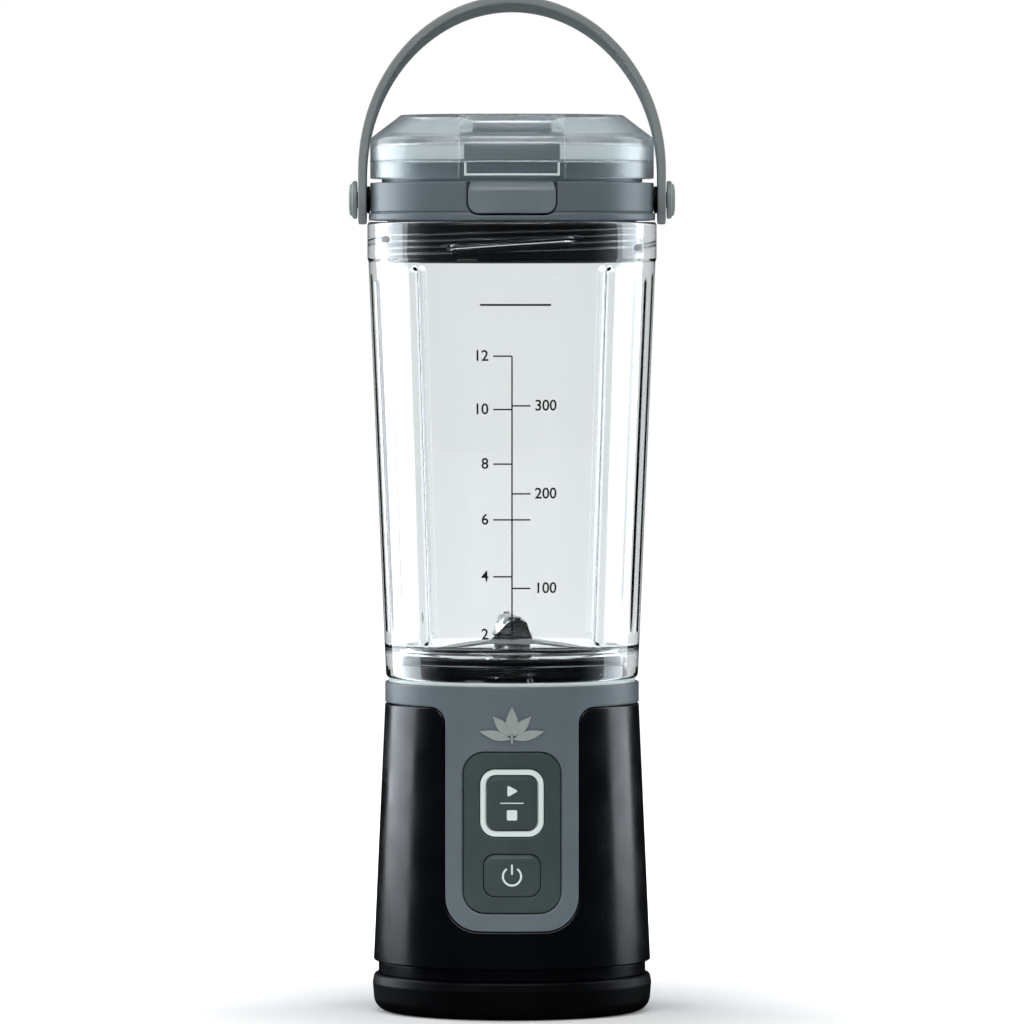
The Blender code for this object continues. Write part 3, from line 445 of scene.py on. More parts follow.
def finish_material(name, colour, roughness, mottle=0.06, mottle_scale=90.0, grain=0.06,
                    grain_scale=2600.0, grain_depth=0.05 * MM, stretch=(1.0, 1.0, 1.0),
                    vary=0.05, **sockets):
    """Moulded or worked surface: slow colour drift, uneven gloss and a fine grain."""
    material = bpy.data.materials.new(name)
    material.use_nodes = True
    tree = material.node_tree
    shader = tree.nodes["Principled BSDF"]
    drift = noise(tree, mottle_scale, 4.0, stretch)
    darker = [channel * (1 - mottle) for channel in colour]
    lighter = [min(1.0, channel * (1 + mottle)) for channel in colour]
    tinted = blend_colours(tree, spread(tree, drift, 0.0, 1.0), darker, lighter)
    tree.links.new(tinted, shader.inputs["Base Color"])
    fine = noise(tree, grain_scale, 2.0, stretch)
    gloss = node(tree, "Math", {0: spread(tree, drift, -vary, vary),
                                1: spread(tree, fine, roughness - vary / 2, roughness + vary / 2)},
                 operation="ADD")
    tree.links.new(gloss.outputs[0], shader.inputs["Roughness"])
    bump = node(tree, "Bump", {"Strength": grain, "Distance": grain_depth, "Height": fine})
    tree.links.new(bump.outputs[0], shader.inputs["Normal"])
    for socket, value in sockets.items():
        shader.inputs[socket.replace("_", " ")].default_value = value
    return material


def swap_shader(tree, factor, other):
    """Show another shader in place of the main one, by a factor."""
    mix = node(tree, "MixShader", {0: factor})
    tree.links.new(tree.nodes["Principled BSDF"].outputs[0], mix.inputs[1])
    tree.links.new(other.outputs[0], mix.inputs[2])
    tree.links.new(mix.outputs[0], tree.nodes["Material Output"].inputs["Surface"])


def let_lamps_through(material, tint):
    """Shadow rays pass a clear piece, tinted, so that what it holds stays lit."""
    tree = material.node_tree
    veil = node(tree, "BsdfTransparent", {"Color": (*tint, 1.0)})
    ray = node(tree, "LightPath").outputs["Is Shadow Ray"]
    swap_shader(tree, ray, veil)
    return material


def absorb(material, colour, density):
    """Darken light by how far it goes inside, so that a clear wall is deeper towards its edges."""
    tree = material.node_tree
    depth = node(tree, "VolumeAbsorption", {"Color": (*colour, 1.0), "Density": density})
    tree.links.new(depth.outputs[0], tree.nodes["Material Output"].inputs["Volume"])
    return material


# Slot: colour, roughness and what else sets it apart
PLAIN_FINISHES = {
    "grey_plastic": ((0.119, 0.150, 0.168), 0.36, {}),
    "handle_grey": ((0.225, 0.250, 0.248), 0.46, dict(mottle=0.05, grain=0.12, grain_scale=1700.0)),
    "panel_grey": ((0.044, 0.066, 0.068), 0.45, dict(grain=0.10, grain_scale=2200.0)),
    # The pale plastic glows faintly though it is no lamp: painted light on every piece in this slot,
    # the printed marks, the seat ring under the jar and the flap's catch among them.
    "light_plastic": ((0.58, 0.65, 0.625), 0.30,
                      dict(mottle=0.02, Emission_Color=(0.86, 1.0, 0.97, 1.0),
                           Emission_Strength=0.14)),
    "black_plastic": ((0.0005, 0.0014, 0.0032), 0.22,
                      dict(mottle=0.10, grain=0.05, Specular_IOR_Level=0.42)),
    "black_rubber": ((0.0010, 0.0014, 0.0020), 0.42,
                     dict(mottle=0.15, grain=0.22, grain_scale=1500.0, Specular_IOR_Level=0.10)),
    "grey_rubber": ((0.12, 0.145, 0.155), 0.62, dict(grain=0.20, grain_scale=1500.0)),
    "steel": ((0.60, 0.61, 0.61), 0.22, dict(mottle=0.05, grain=0.10, grain_scale=700.0,
                                             stretch=(1.0, 1.0, 14.0), vary=0.08, Metallic=1.0)),
    "bronze": ((0.50, 0.33, 0.15), 0.42, dict(mottle=0.12, grain=0.25, grain_scale=1500.0,
                                              Metallic=1.0)),
    "magnet_grey": ((0.05, 0.05, 0.056), 0.62, dict(mottle=0.2, grain=0.3, grain_scale=1200.0)),
    "copper": ((0.72, 0.33, 0.17), 0.34, dict(mottle=0.12, grain=0.4, grain_scale=900.0,
                                              stretch=(1.0, 1.0, 0.08), Metallic=1.0)),
    "cell_sleeve": ((0.07, 0.19, 0.36), 0.30, dict(mottle=0.05)),
    "board_green": ((0.012, 0.11, 0.045), 0.38, dict(mottle=0.25, mottle_scale=260.0)),
}


def make_finishes():
    """One finished material for each material slot in the record."""
    finishes = {slot: finish_material(slot, colour, roughness, **rest)
                for slot, (colour, roughness, rest) in PLAIN_FINISHES.items()}
    clear = finish_material("clear_plastic", (0.97, 0.985, 0.985), 0.03, mottle=0.004,
                            mottle_scale=30.0, grain=0.05, grain_scale=60.0, vary=0.02,
                            grain_depth=0.2 * MM, Transmission_Weight=1.0, IOR=1.49)
    let_lamps_through(clear, (0.93, 0.95, 0.95))
    finishes["clear_plastic"] = absorb(clear, (0.20, 0.34, 0.40), 25.0)
    smoke = finish_material("smoke_plastic", (0.73, 0.785, 0.80), 0.22, mottle=0.02,
                            mottle_scale=50.0, grain=0.02, grain_scale=240.0, vary=0.03,
                            Transmission_Weight=0.96, IOR=1.45)
    finishes["smoke_plastic"] = let_lamps_through(smoke, (0.62, 0.68, 0.70))
    return finishes


FINISHES = make_finishes()


def put_on(piece, body):
    """Lift a piece from the datum's height to the frame's, and make it move with its body."""
    piece.location.z += LIFT
    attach(piece, body)


def settle(piece, body, slot, *nodes, finish=None):
    """Give a finished piece its material, its body and the CAD nodes that it stands for."""
    piece.data.materials.clear()
    piece.data.materials.append(finish or FINISHES[slot])
    put_on(piece, body)
    if nodes:
        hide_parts(*nodes)
    return piece


def dress_cad_nodes():
    for part in frame["record"]["subparts"]:
        mesh = frame["nodes"][part["node"]].data
        mesh.materials.clear()
        mesh.materials.append(FINISHES[part["material_slot"]])


# ---------------------------------------------------------------- motor base

def make_foot():
    low, high = box("foot_boot")
    r = high.x
    top, sole = high.z, low.z
    tread = sole + 0.5 * MM
    rim_in = r - 3.3 * MM
    section = [
        (0.0, tread, 0), (20.0 * MM, tread, 0.2 * MM), (20.5 * MM, sole, 0.2 * MM),
        (24.0 * MM, sole, 0.2 * MM), (24.5 * MM, tread, 0.2 * MM), (29.0 * MM, tread, 0.2 * MM),
        (29.5 * MM, sole, 0.2 * MM), (r - 0.7 * MM, sole, 5.0 * MM), (r, 6.9 * MM, 2.0 * MM),
        (r - 0.5 * MM, top, 0.9 * MM), (rim_in, top, 0.3 * MM), (rim_in, 2.2 * MM, 0),
        (0.0, 2.2 * MM, 0),
    ]
    foot = lathe("foot_rubber", rounded(section, 10))
    settle(foot, "motor_base", "black_rubber", "foot_boot")


def base_screws():
    return [name for name in frame["nodes"] if name.startswith("base_screw")]


def make_groove_band():
    """Bottom cover, of which the recessed band between the foot and the sleeve shows."""
    low, high = top_z("foot_boot") + GAP, SLEEVE_LOW - GAP
    r = 38.2 * MM
    section = [(0.0, 2.5 * MM, 0), mm(36.3, 2.5, 0.3), (36.3 * MM, low, 0),
               (r, low, 0.2 * MM), (r, high, 0.15 * MM),
               (37.1 * MM, high, 0), (37.1 * MM, high + 4.0 * MM, 0), (35.1 * MM, high + 4.0 * MM, 0),
               mm(35.1, 4.5, 0), (0.0, 4.5 * MM, 0)]
    band = lathe("groove_band", rounded(section))
    settle(band, "motor_base", "black_plastic", "bottom_cover", *base_screws())


TONGUE = {"width": 38.0 * MM, "bottom": 24.1 * MM, "corner": 9.5 * MM, "flare": 4.5 * MM}
BAND_END = math.pi * WRAP_R + 2.0 * MM


def tongue_points(top, grow=0.0):
    return open_top(TONGUE["width"] + 2 * grow, TONGUE["bottom"] - grow, top,
                    TONGUE["corner"] + grow, TONGUE["flare"] - grow)


def make_sleeve():
    """Tapered sleeve with its round-bottomed front opening and the opening for the port."""
    opening = on_wall(tongue_points(SLEEVE_TOP, GAP))
    outline = [(-BAND_END, SLEEVE_LOW), (BAND_END, SLEEVE_LOW), (BAND_END, SLEEVE_TOP)]
    outline += opening[::-1] + [(-BAND_END, SLEEVE_TOP)]
    sleeve = full_band("motor_sleeve", outline, -2.0 * MM, 0.0, 0.35 * MM, wall_radius)
    flap = extent("port_flap")
    opening = rounded_rect(flap.x + 2 * GAP, flap.z + 2 * GAP, 1.5 * MM, (0.0, middle("port_flap").z))
    cutter = plate("cutter", [opening], *mm(30, 50, 0.01))
    boolean(sleeve, upright("cutter", cutter), "DIFFERENCE")
    settle(sleeve, "motor_base", "black_plastic", "housing")


def make_fascia():
    """Collar ring and tongue in one skin, and the ledge inside the ring."""
    low = SLEEVE_TOP + GAP
    tongue = on_wall(tongue_points(low))
    outline = [(-BAND_END, low)] + tongue + [(BAND_END, low), (BAND_END, COLLAR_TOP),
                                             (-BAND_END, COLLAR_TOP)]
    panel = extent("control_panel")
    window = on_wall(rounded_rect(panel.x + 2 * GAP, panel.z + 2 * GAP, 6.3 * MM,
                                  (0.0, middle("control_panel").z)))
    shape = plate("fascia", [outline, window], -2.0 * MM, 0.0, 0.45 * MM, 1.0 * MM)
    trim_to_turn(shape)
    wrap(shape, wall_radius)
    close_seam(shape)
    settle(shape_of("fascia", shape), "motor_base", "grey_plastic", "collar_fascia")
    inner, outer, low, top = 32.5 * MM, 34.4 * MM, 83.5 * MM, COLLAR_TOP - 0.1 * MM
    ledge = rounded([(inner, low, 0.3 * MM), (33.9 * MM, low, 0.2 * MM), (33.9 * MM, low + 3.4 * MM, 0),
                     (outer, low + 3.6 * MM, 0), (outer, top, 0.3 * MM), (inner, top, 0.5 * MM)])
    settle(lathe("collar_ledge", ledge), "motor_base", "grey_plastic")
    # Pale, faintly glowing ring under the jar's foot, where light comes through the jar's clear bottom
    # rim: painted light.
    low, top = COLLAR_TOP - 0.3 * MM, JAR_LOW - 0.1 * MM
    painted_glow_seat = rounded([(31.3 * MM, low, 0), (35.3 * MM, low, 0), (35.3 * MM, top, 0.3 * MM),
                    (31.3 * MM, top, 0.3 * MM)])
    settle(lathe("vessel_seat_painted_glow", painted_glow_seat), "motor_base", "light_plastic")


def pad_shape(name, node_name, grow, corner, low, crown, shoulder, bevel):
    """Soft-edged key: a plate whose front rises from its edge over a rounded shoulder."""
    size, z = extent(node_name), middle(node_name).z
    half_u, half_v = size.x / 2 + grow, size.z / 2 + grow
    outline = on_wall(rounded_rect(2 * half_u, 2 * half_v, corner, (0.0, z)))
    shape = plate(name, [outline], -1.6 * MM, low, bevel, 0.35 * MM, 0.35 * MM)

    def swell(u, v, w):
        if w < -1.0 * MM:
            return (u, v, w)
        x, y = abs(u) - half_u + corner, abs(v - z) - half_v + corner
        inward = corner - math.hypot(max(0.0, x), max(0.0, y))
        if x < 0 or y < 0:
            inward = min(half_u - abs(u), half_v - abs(v - z))
        return (u, v, w + crown * smooth_step(shoulder / 2, shoulder, inward))
    return shape_of(name, wrap(reshape(shape, swell), wall_radius))


def make_controls():
    z = middle("control_panel").z
    panel = extent("control_panel")
    ring, power = extent("light_ring"), extent("power_button")
    start_z, power_z = middle("light_ring").z, middle("power_button").z
    outlines = [
        rounded_rect(panel.x, panel.z, 6.0 * MM, (0.0, z)),
        rounded_rect(ring.x + 2 * GAP, ring.z + 2 * GAP, 4.5 * MM, (0.0, start_z)),
        rounded_rect(power.x + 0.5 * MM, power.z + 0.5 * MM, 3.25 * MM, (0.0, power_z)),
    ]
    plate_piece = front_plate("panel_plate", outlines, *mm(-2.2, -0.2, 0.3))
    settle(plate_piece, "motor_base", "panel_grey", "control_panel")
    outlines = [rounded_rect(ring.x, ring.z, 4.2 * MM, (0.0, start_z)),
                rounded_rect(ring.x - 3.0 * MM, ring.z - 3.0 * MM, 2.9 * MM, (0.0, start_z))]
    glow = front_plate("glow_ring", outlines, *mm(-2.4, 0.2, 0.6), steps=5)
    settle(glow, "motor_base", "light_plastic", "light_ring")
    start = pad_shape("start_pad", "start_button", 0.0, *mm(2.7, -0.35, 0.3),
                      1.6 * MM, 0.12 * MM)
    settle(start, "start_button", "panel_grey", "start_button")
    power_pad = pad_shape("power_pad", "power_button", 0.0, *mm(3.2, -0.2, 0.42),
                          1.5 * MM, 0.03 * MM)
    settle(power_pad, "power_button", "panel_grey", "power_button")
    make_icons(start_z, power_z)


def make_icons(start_z, power_z):
    """Plain printed symbols: play and stop with a line between them, and a power ring."""
    thin = mm(-0.15, 0.02, 0.03)
    play_z, stop_z = start_z + 3.4 * MM, start_z - 3.4 * MM
    play = rounded([(-1.3 * MM, play_z - 1.7 * MM, 0.35 * MM), (1.8 * MM, play_z, 0.35 * MM),
                    (-1.3 * MM, play_z + 1.7 * MM, 0.35 * MM)])
    stop = rounded_rect(*mm(2.9, 2.9, 0.35), (0.0, stop_z))
    line = rounded_rect(*mm(6.6, 0.28, 0.1), (0.0, start_z))
    # These marks and the power marks below are in the pale plastic, whose faint glow is painted light.
    for name, outline in (("play_mark", play), ("stop_mark", stop), ("divider_mark", line)):
        mark = front_plate(name, [outline], *thin)
        settle(mark, "start_button", "light_plastic")
    r, width = mm(2.55, 0.55)
    ring = arc(0.0, power_z - 0.2 * MM, r + width / 2, 125, 415, 40)
    ring += arc(0.0, power_z - 0.2 * MM, r - width / 2, 415, 125, 40)
    bar = rounded_rect(width, 2.9 * MM, width * 0.45, (0.0, power_z + 1.7 * MM))
    for name, outline in (("power_ring_mark", ring), ("power_bar_mark", bar)):
        mark = front_plate(name, [outline], *mm(0.1, 0.25, 0.03))
        settle(mark, "power_button", "light_plastic")


def leaf(length, half_width, lean, root, steps=14):
    """Pointed leaf from its root, leaning from upright by an angle in degrees."""
    points = []
    for side in (1, -1):
        order = range(steps + 1) if side == 1 else range(steps - 1, 0, -1)
        for step in order:
            t = step / steps
            width = half_width * math.sin(math.pi * t ** 0.85) ** 1.1
            points.append(Vector((side * width, length * t)))
    spin = Matrix.Rotation(math.radians(-lean), 2)
    return [tuple(Vector(root) + spin @ point) for point in points]


def make_emblem():
    """Raised sprig of five leaves with a short stem, on the collar's tongue."""
    foot = 78.9 * MM
    parts = {"sprig_stem": rounded_rect(*mm(0.7, 2.4, 0.3), (0.0, foot - 0.6 * MM))}
    leaves = (("middle", 0, 8.2, 1.75, 0.5), ("inner", 43, 7.6, 1.5, 0.3),
              ("outer", 76, 9.4, 1.35, -0.6))
    for name, lean, length, half_width, lift in leaves:
        for side, sign in (("left", -1), ("right", 1)) if lean else (("top", 1),):
            root = (sign * 0.25 * MM if lean else 0.0, foot + lift * MM)
            outline = leaf(length * MM, half_width * MM, sign * lean, root)
            parts[f"sprig_{name}_{side}"] = outline
    pale = finish_material("sprig_grey", (0.30, 0.345, 0.33), 0.40)
    for name, outline in parts.items():
        piece = front_plate(name, [outline], *mm(-0.3, 0.5, 0.32))
        settle(piece, "motor_base", "handle_grey", finish=pale)


def make_port():
    """Rear charging port and its rubber cover."""
    z = middle("charging_port").z
    shell = extent("charging_port")
    low, high = box("charging_port")
    outlines = [rounded_rect(shell.x, shell.z, 1.5 * MM, (0.0, z)),
                rounded_rect(shell.x - 0.6 * MM, shell.z - 0.6 * MM, 1.25 * MM, (0.0, z))]
    mouth = plate("port_shell", outlines, low.y, high.y, 0.1 * MM)
    settle(upright("port_shell", mouth), "motor_base", "steel", "charging_port")
    tongue = plate("port_tongue", [rounded_rect(*mm(6.6, 0.7, 0.2), (0.0, z))],
                   low.y, high.y - 1.0 * MM, 0.1 * MM)
    settle(upright("port_tongue", tongue), "motor_base", "black_plastic")
    size = extent("port_flap")
    outlines = [on_wall(rounded_rect(size.x, size.z, 1.2 * MM, (0.0, middle("port_flap").z)))]
    flap = plate("port_cover", outlines, *mm(-1.6, -0.1, 0.4, 0.8))
    cover = shape_of("port_cover", wrap(flap, wall_radius, math.pi))
    settle(cover, "port_flap", "black_rubber", "port_flap")
    grip_z = top_z("port_flap") - 1.9 * MM
    grip = plate("port_grip", [on_wall(rounded_rect(*mm(6.0, 1.3, 0.6), (0.0, grip_z)))],
                 *mm(-0.4, 0.25, 0.3, 0.8))
    settle(shape_of("port_grip", wrap(grip, wall_radius, math.pi)), "port_flap", "black_rubber")


def ridge_height(angle, z, ridge, drop=0.0):
    """0 off, and 1 on, four equal screw ridges round a wall; drop shifts them down."""
    width, lead, low, thickness = ridge
    turned = (angle + width / 2) % QUARTER
    if turned > width:
        return 0.0
    base = low - drop + lead * turned / TAU
    soft = 0.5 * MM
    across = smooth_step(base, soft, z) * (1 - smooth_step(base + thickness, soft, z))
    ends = smooth_step(0.08, 0.15, turned) * (1 - smooth_step(width - 0.08, 0.15, turned))
    return across * ends


def along_ridge(angle, z, ridge, low, high):
    """Height of a row that leans with the ridges, fading out towards the wall's ends."""
    width, lead = ridge[:2]
    turned = (angle + width / 2) % QUARTER
    if turned <= width:
        lift = turned - width / 2
    else:
        lift = width / 2 * (1 - 2 * (turned - width) / (QUARTER - width))
    fade = max(0.0, min(1.0, (z - low) / (2.6 * MM), (high - z) / (2.6 * MM)))
    return z + lead * lift / TAU * fade


def ridged(angle, heights, radius, stand, ridge, drop=0.0):
    """Points of a wall at some heights, where its ridges stand out from it, or in if below 0."""
    return [(radius + stand * ridge_height(angle, z, ridge, drop), z) for z in heights]


def leaning(angle, wall, ridge):
    """Rows of a wall, lowest first, as they lean with its ridges."""
    return [along_ridge(angle, z, ridge, min(wall), max(wall)) for z in wall]


def rows(low, high, spacing):
    count = max(1, round((high - low) / spacing))
    return [low + (high - low) * step / count for step in range(count + 1)]


def make_platform():
    """Floor of the vessel with the male ridges round it."""
    top = top_z("blade_platform")
    low = base_z("blade_platform")
    r = widest("blade_platform", low=top - 0.5 * MM)
    wall = rows(93.4 * MM, top - 1.0 * MM, 0.2 * MM)
    inside = rounded([
        (r, top, 0.7 * MM), (24.5 * MM, top, 0.4 * MM), (24.0 * MM, top - 0.5 * MM, 0.4 * MM),
        (11.0 * MM, top - 0.5 * MM, 0.4 * MM), (10.6 * MM, top, 0.3 * MM), (6.3 * MM, top, 0.2 * MM),
        (6.3 * MM, low, 0), (9.0 * MM, low, 0), (9.0 * MM, top - 3.4 * MM, 0),
        (29.0 * MM, top - 3.4 * MM, 0), (29.0 * MM, low, 0), (32.2 * MM, low, 0),
        mm(32.2, 92.9, 0.3), (r, 92.9 * MM, 0),
    ])

    def section(angle):
        heights = leaning(angle, wall, BASE_RIDGE)
        return ridged(angle, heights, r, 1.6 * MM, BASE_RIDGE) + inside
    platform = lathe("vessel_floor", section, even_angles(360))
    settle(platform, "motor_base", "black_plastic", "blade_platform")
    seal_z = base_z("shaft_seal")
    seal = rounded([(2.3 * MM, seal_z, 0), (6.0 * MM, seal_z, 0),
                    (6.0 * MM, seal_z + 2.6 * MM, 0.3 * MM),
                    (3.4 * MM, seal_z + 3.0 * MM, 0.5 * MM), (2.3 * MM, seal_z + 2.6 * MM, 0.2 * MM)])
    settle(lathe("shaft_lip_seal", seal, even_angles(96)), "motor_base", "black_rubber", "shaft_seal")


# ---------------------------------------------------------------- blades

def blade_shape(name, node_name, spin, reach, rise):
    """Two-armed blade with ground edges, whose arms bend smoothly away from the flat middle."""
    z, thickness, flat = base_z(node_name) - min(0.0, rise), 1.2 * MM, 6.2 * MM
    shape = bmesh.new()
    sections = []
    stations = rows(-reach, reach, 0.8 * MM)
    for x in stations:
        beyond = max(0.0, abs(x) - flat) / (reach - flat)
        half = (5.8 - 3.4 * beyond) * MM * math.sqrt(max(0.04, 1 - max(0.0, beyond - 0.88) ** 2 * 64))
        lift = rise * (0.35 * beyond ** 2 + 0.65 * beyond)
        sweep = math.copysign(1.6 * MM * beyond, x)
        ground = 1.5 * MM * smooth_step(0.1, 0.3, beyond)
        edge = 0.12 * MM + 0.48 * MM * (1 - smooth_step(0.1, 0.3, beyond))
        mid = thickness / 2
        outline = [
            (-half, mid - edge), (-half + ground, 0.0), (half - ground, 0.0), (half, mid - edge),
            (half, mid + edge), (half - ground, thickness), (-half + ground, thickness),
            (-half, mid + edge),
        ]
        sections.append([(x, sweep + y, z + lift + h) for y, h in outline])
    made = [[shape.verts.new(point) for point in section] for section in sections]
    for row, following in zip(made, made[1:]):
        for index in range(8):
            nearby = (index + 1) % 8
            shape.faces.new((row[index], row[nearby], following[nearby], following[index]))
    shape.faces.new(made[0])
    shape.faces.new(made[-1])
    piece = moved(shape_of(name, shape), Matrix.Rotation(spin, 4, "Z"))
    return settle(piece, "blade_rotor", "steel", node_name)


def make_rotor():
    hub_low, hub_high = base_z("blade_hub"), top_z("blade_hub")
    hub = rounded([(2.3 * MM, hub_low, 0), (8.0 * MM, hub_low, 0.3 * MM),
                   (7.8 * MM, hub_low + 1.2 * MM, 0.4 * MM), (5.6 * MM, hub_low + 2.2 * MM, 1.2 * MM),
                   (5.2 * MM, hub_high, 0.3 * MM), (2.3 * MM, hub_high, 0)])
    settle(lathe("hub_cone", hub, even_angles(128)), "blade_rotor", "steel", "blade_hub")
    blade_shape("cutter_low", "lower_blade", 0.0, 23.5 * MM, -2.8 * MM)
    blade_shape("cutter_high", "upper_blade", QUARTER, 20.5 * MM, 5.5 * MM)
    low, high = box("blade_nut")
    nut = flat_piece("nut_hex", [circle(4.6 * MM, 6)], low.z, low.z + 2.8 * MM, 0.35 * MM)
    settle(nut, "blade_rotor", "steel", "blade_nut")
    start = low.z + 2.6 * MM
    cap = rounded([(0.0, start, 0), (3.7 * MM, start, 0), (3.7 * MM, start + 0.9 * MM, 0.4 * MM),
                   (2.4 * MM, high.z - 0.1 * MM, 1.4 * MM), (0.0, high.z, 0)])
    settle(lathe("nut_cap", cap, even_angles(96)), "blade_rotor", "steel")


# ---------------------------------------------------------------- vessel

RIB_ANGLES = [QUARTER * (turn + 0.5) for turn in range(4)]
RIB_HALF = 1.25 * MM
RIB_DEPTH = 1.3 * MM
RIB_LOW, RIB_TOP = mm(104.6, 211.0)
FLUTE_PITCH = math.radians(10.5)
FLUTED_PITCHES = 3.5
FLUTE_DEPTH = 0.16 * MM


def inner_radius(z):
    risen = (z - FLOOR) / (SHOULDER - FLOOR)
    return FLOOR_R + (NECK_INNER_R - FLOOR_R) * risen


def angle_from(angle, places):
    """How far an angle is from the nearest of some others."""
    return min(abs((angle - place + math.pi) % TAU - math.pi) for place in places)


def rib_height(angle, z):
    """Stadium-shaped rib as it stands off the wall, from 0 to 1."""
    away = angle_from(angle, RIB_ANGLES)
    beyond = max(0.0, z - (RIB_TOP - RIB_HALF), RIB_LOW + RIB_HALF - z)
    distance = math.hypot(away * inner_radius(z), beyond)
    return 1 - smooth_step(RIB_HALF - 0.1 * MM, 1.5 * MM, distance)


def flute_depth(angle, z):
    """Shallow upright flutes in the wall between the ribs at each side, from 0 to 1."""
    side = angle_from(angle, (0.0, math.pi))
    if side > FLUTED_PITCHES * FLUTE_PITCH:
        return 0.0
    wave = math.cos(math.pi * side / FLUTE_PITCH) ** 2
    ends = smooth_step(FLOOR + 6 * MM, 6 * MM, z) * (1 - smooth_step(RIB_TOP - 3 * MM, 5 * MM, z))
    return wave * ends


def make_jar():
    """Clear jar: tapered wall with four ribs, side flutes and the ridges of both screw joints."""
    outer = rounded([
        (BAY_R, JAR_LOW, 0.4 * MM), (JAR_R_LOW, JAR_LOW, 1.5 * MM),
        (JAR_R_SHOULDER, SHOULDER, 0.5 * MM), (JAR_NECK_R, SHOULDER + 0.8 * MM, 0.4 * MM),
        (JAR_NECK_R, JAR_TOP, 0.9 * MM), (NECK_INNER_R, JAR_TOP, 0.6 * MM),
        (NECK_INNER_R, SHOULDER + 9.0 * MM, 0), (BAY_R, SHOULDER, 0),
    ])[:-2]
    neck = rows(SHOULDER + 0.6 * MM, JAR_TOP - 1.6 * MM, 0.3 * MM)[::-1]
    wall = rows(FLOOR + 0.8 * MM, RIB_LOW + 3 * MM, 0.3 * MM)[:-1]
    wall += rows(RIB_LOW + 3 * MM, RIB_TOP - 4 * MM, 6 * MM)[:-1]
    wall += rows(RIB_TOP - 4 * MM, SHOULDER - 0.5 * MM, 0.3 * MM)
    wall = wall[::-1]
    floor = rounded([
        (inner_radius(FLOOR + 0.8 * MM), FLOOR + 0.8 * MM, 0), (FLOOR_R, FLOOR, 0.8 * MM),
        (LEDGE_R, LEDGE + 1.0 * MM, 0.5 * MM), (LEDGE_R, LEDGE, 0.2 * MM), (BAY_R, LEDGE, 0.2 * MM),
    ])[1:]
    bay = rows(JAR_LOW + 0.4 * MM, LEDGE - 0.4 * MM, 0.15 * MM)[::-1]
    lid_drop = -(LID_RIDGE[3] + GAP)
    base_drop = BASE_RIDGE[3] + GAP

    def section(angle):
        heights = leaning(angle, neck, LID_RIDGE)
        points = outer + ridged(angle, heights, NECK_INNER_R, -1.7 * MM, LID_RIDGE, lid_drop)
        for z in wall:
            stand = RIB_DEPTH * rib_height(angle, z) - FLUTE_DEPTH * flute_depth(angle, z)
            points.append((inner_radius(z) - stand, z))
        return points + floor + ridged(angle, bay, BAY_R, -1.5 * MM, BASE_RIDGE, base_drop)

    angles = set(even_angles(240))
    for rib in RIB_ANGLES:
        angles.update(rib + math.radians(0.2 * step) for step in range(-16, 17))
    ordered = sorted(angles)
    spaced = [ordered[0]]
    for angle in ordered[1:]:
        if angle - spaced[-1] > math.radians(0.15):
            spaced.append(angle)
    jar = lathe("clear_jar", section, spaced)
    settle(jar, "vessel", "clear_plastic", "vessel_jar")
    z = base_z("vessel_gasket")
    ring = rounded([(29.0 * MM, z, 0.2 * MM), (32.7 * MM, z, 0.3 * MM),
                    (32.7 * MM, z + 1.3 * MM, 0.4 * MM),
                    (31.2 * MM, z + 2.0 * MM, 0.5 * MM), (29.6 * MM, z + 1.4 * MM, 0.4 * MM),
                    (29.0 * MM, z + 1.8 * MM, 0.2 * MM)])
    settle(lathe("jar_gasket", ring), "vessel_seal", "black_rubber", "vessel_gasket")


def ink():
    """Printed scale: matt dark ink with the slight unevenness of a screen print."""
    return finish_material("scale_ink", (0.006, 0.009, 0.011), 0.55, mottle=0.35,
                           mottle_scale=900.0, grain=0.1)


def print_on_jar(name, shape, material):
    """Lay a flat printed shape on the jar's front, just proud of the wall."""
    piece = shape_of(name, wrap(shape, lambda z: jar_radius(z) + 0.02 * MM))
    piece.data.materials.append(material)
    put_on(piece, "vessel")


DIGIT_HEIGHT = 3.1 * MM
SIZE_OF_DIGIT = 1.38  # typeface size over the height of its digits


def numeral(name, text, x, z, height, align):
    """Number in the built-in typeface, standing on the jar at a height."""
    curve = bpy.data.curves.new(name, "FONT")
    curve.body = text
    curve.size = height * SIZE_OF_DIGIT
    curve.align_x = align
    curve.align_y = "CENTER"
    curve.extrude = 0.012 * MM
    curve.offset = 0.06 * MM
    shape = shape_from_curve(curve, 0.0)
    slice_along(shape, 0, 0.5 * MM)
    reshape(shape, lambda u, v, w: ((u + x) * WRAP_R / jar_radius(z), v + z, w))
    return shape


def print_number(kind, label, number, x, z, align, material):
    name = f"{kind}_{label}"
    print_on_jar(name, numeral(name, str(number), x, z, DIGIT_HEIGHT, align), material)


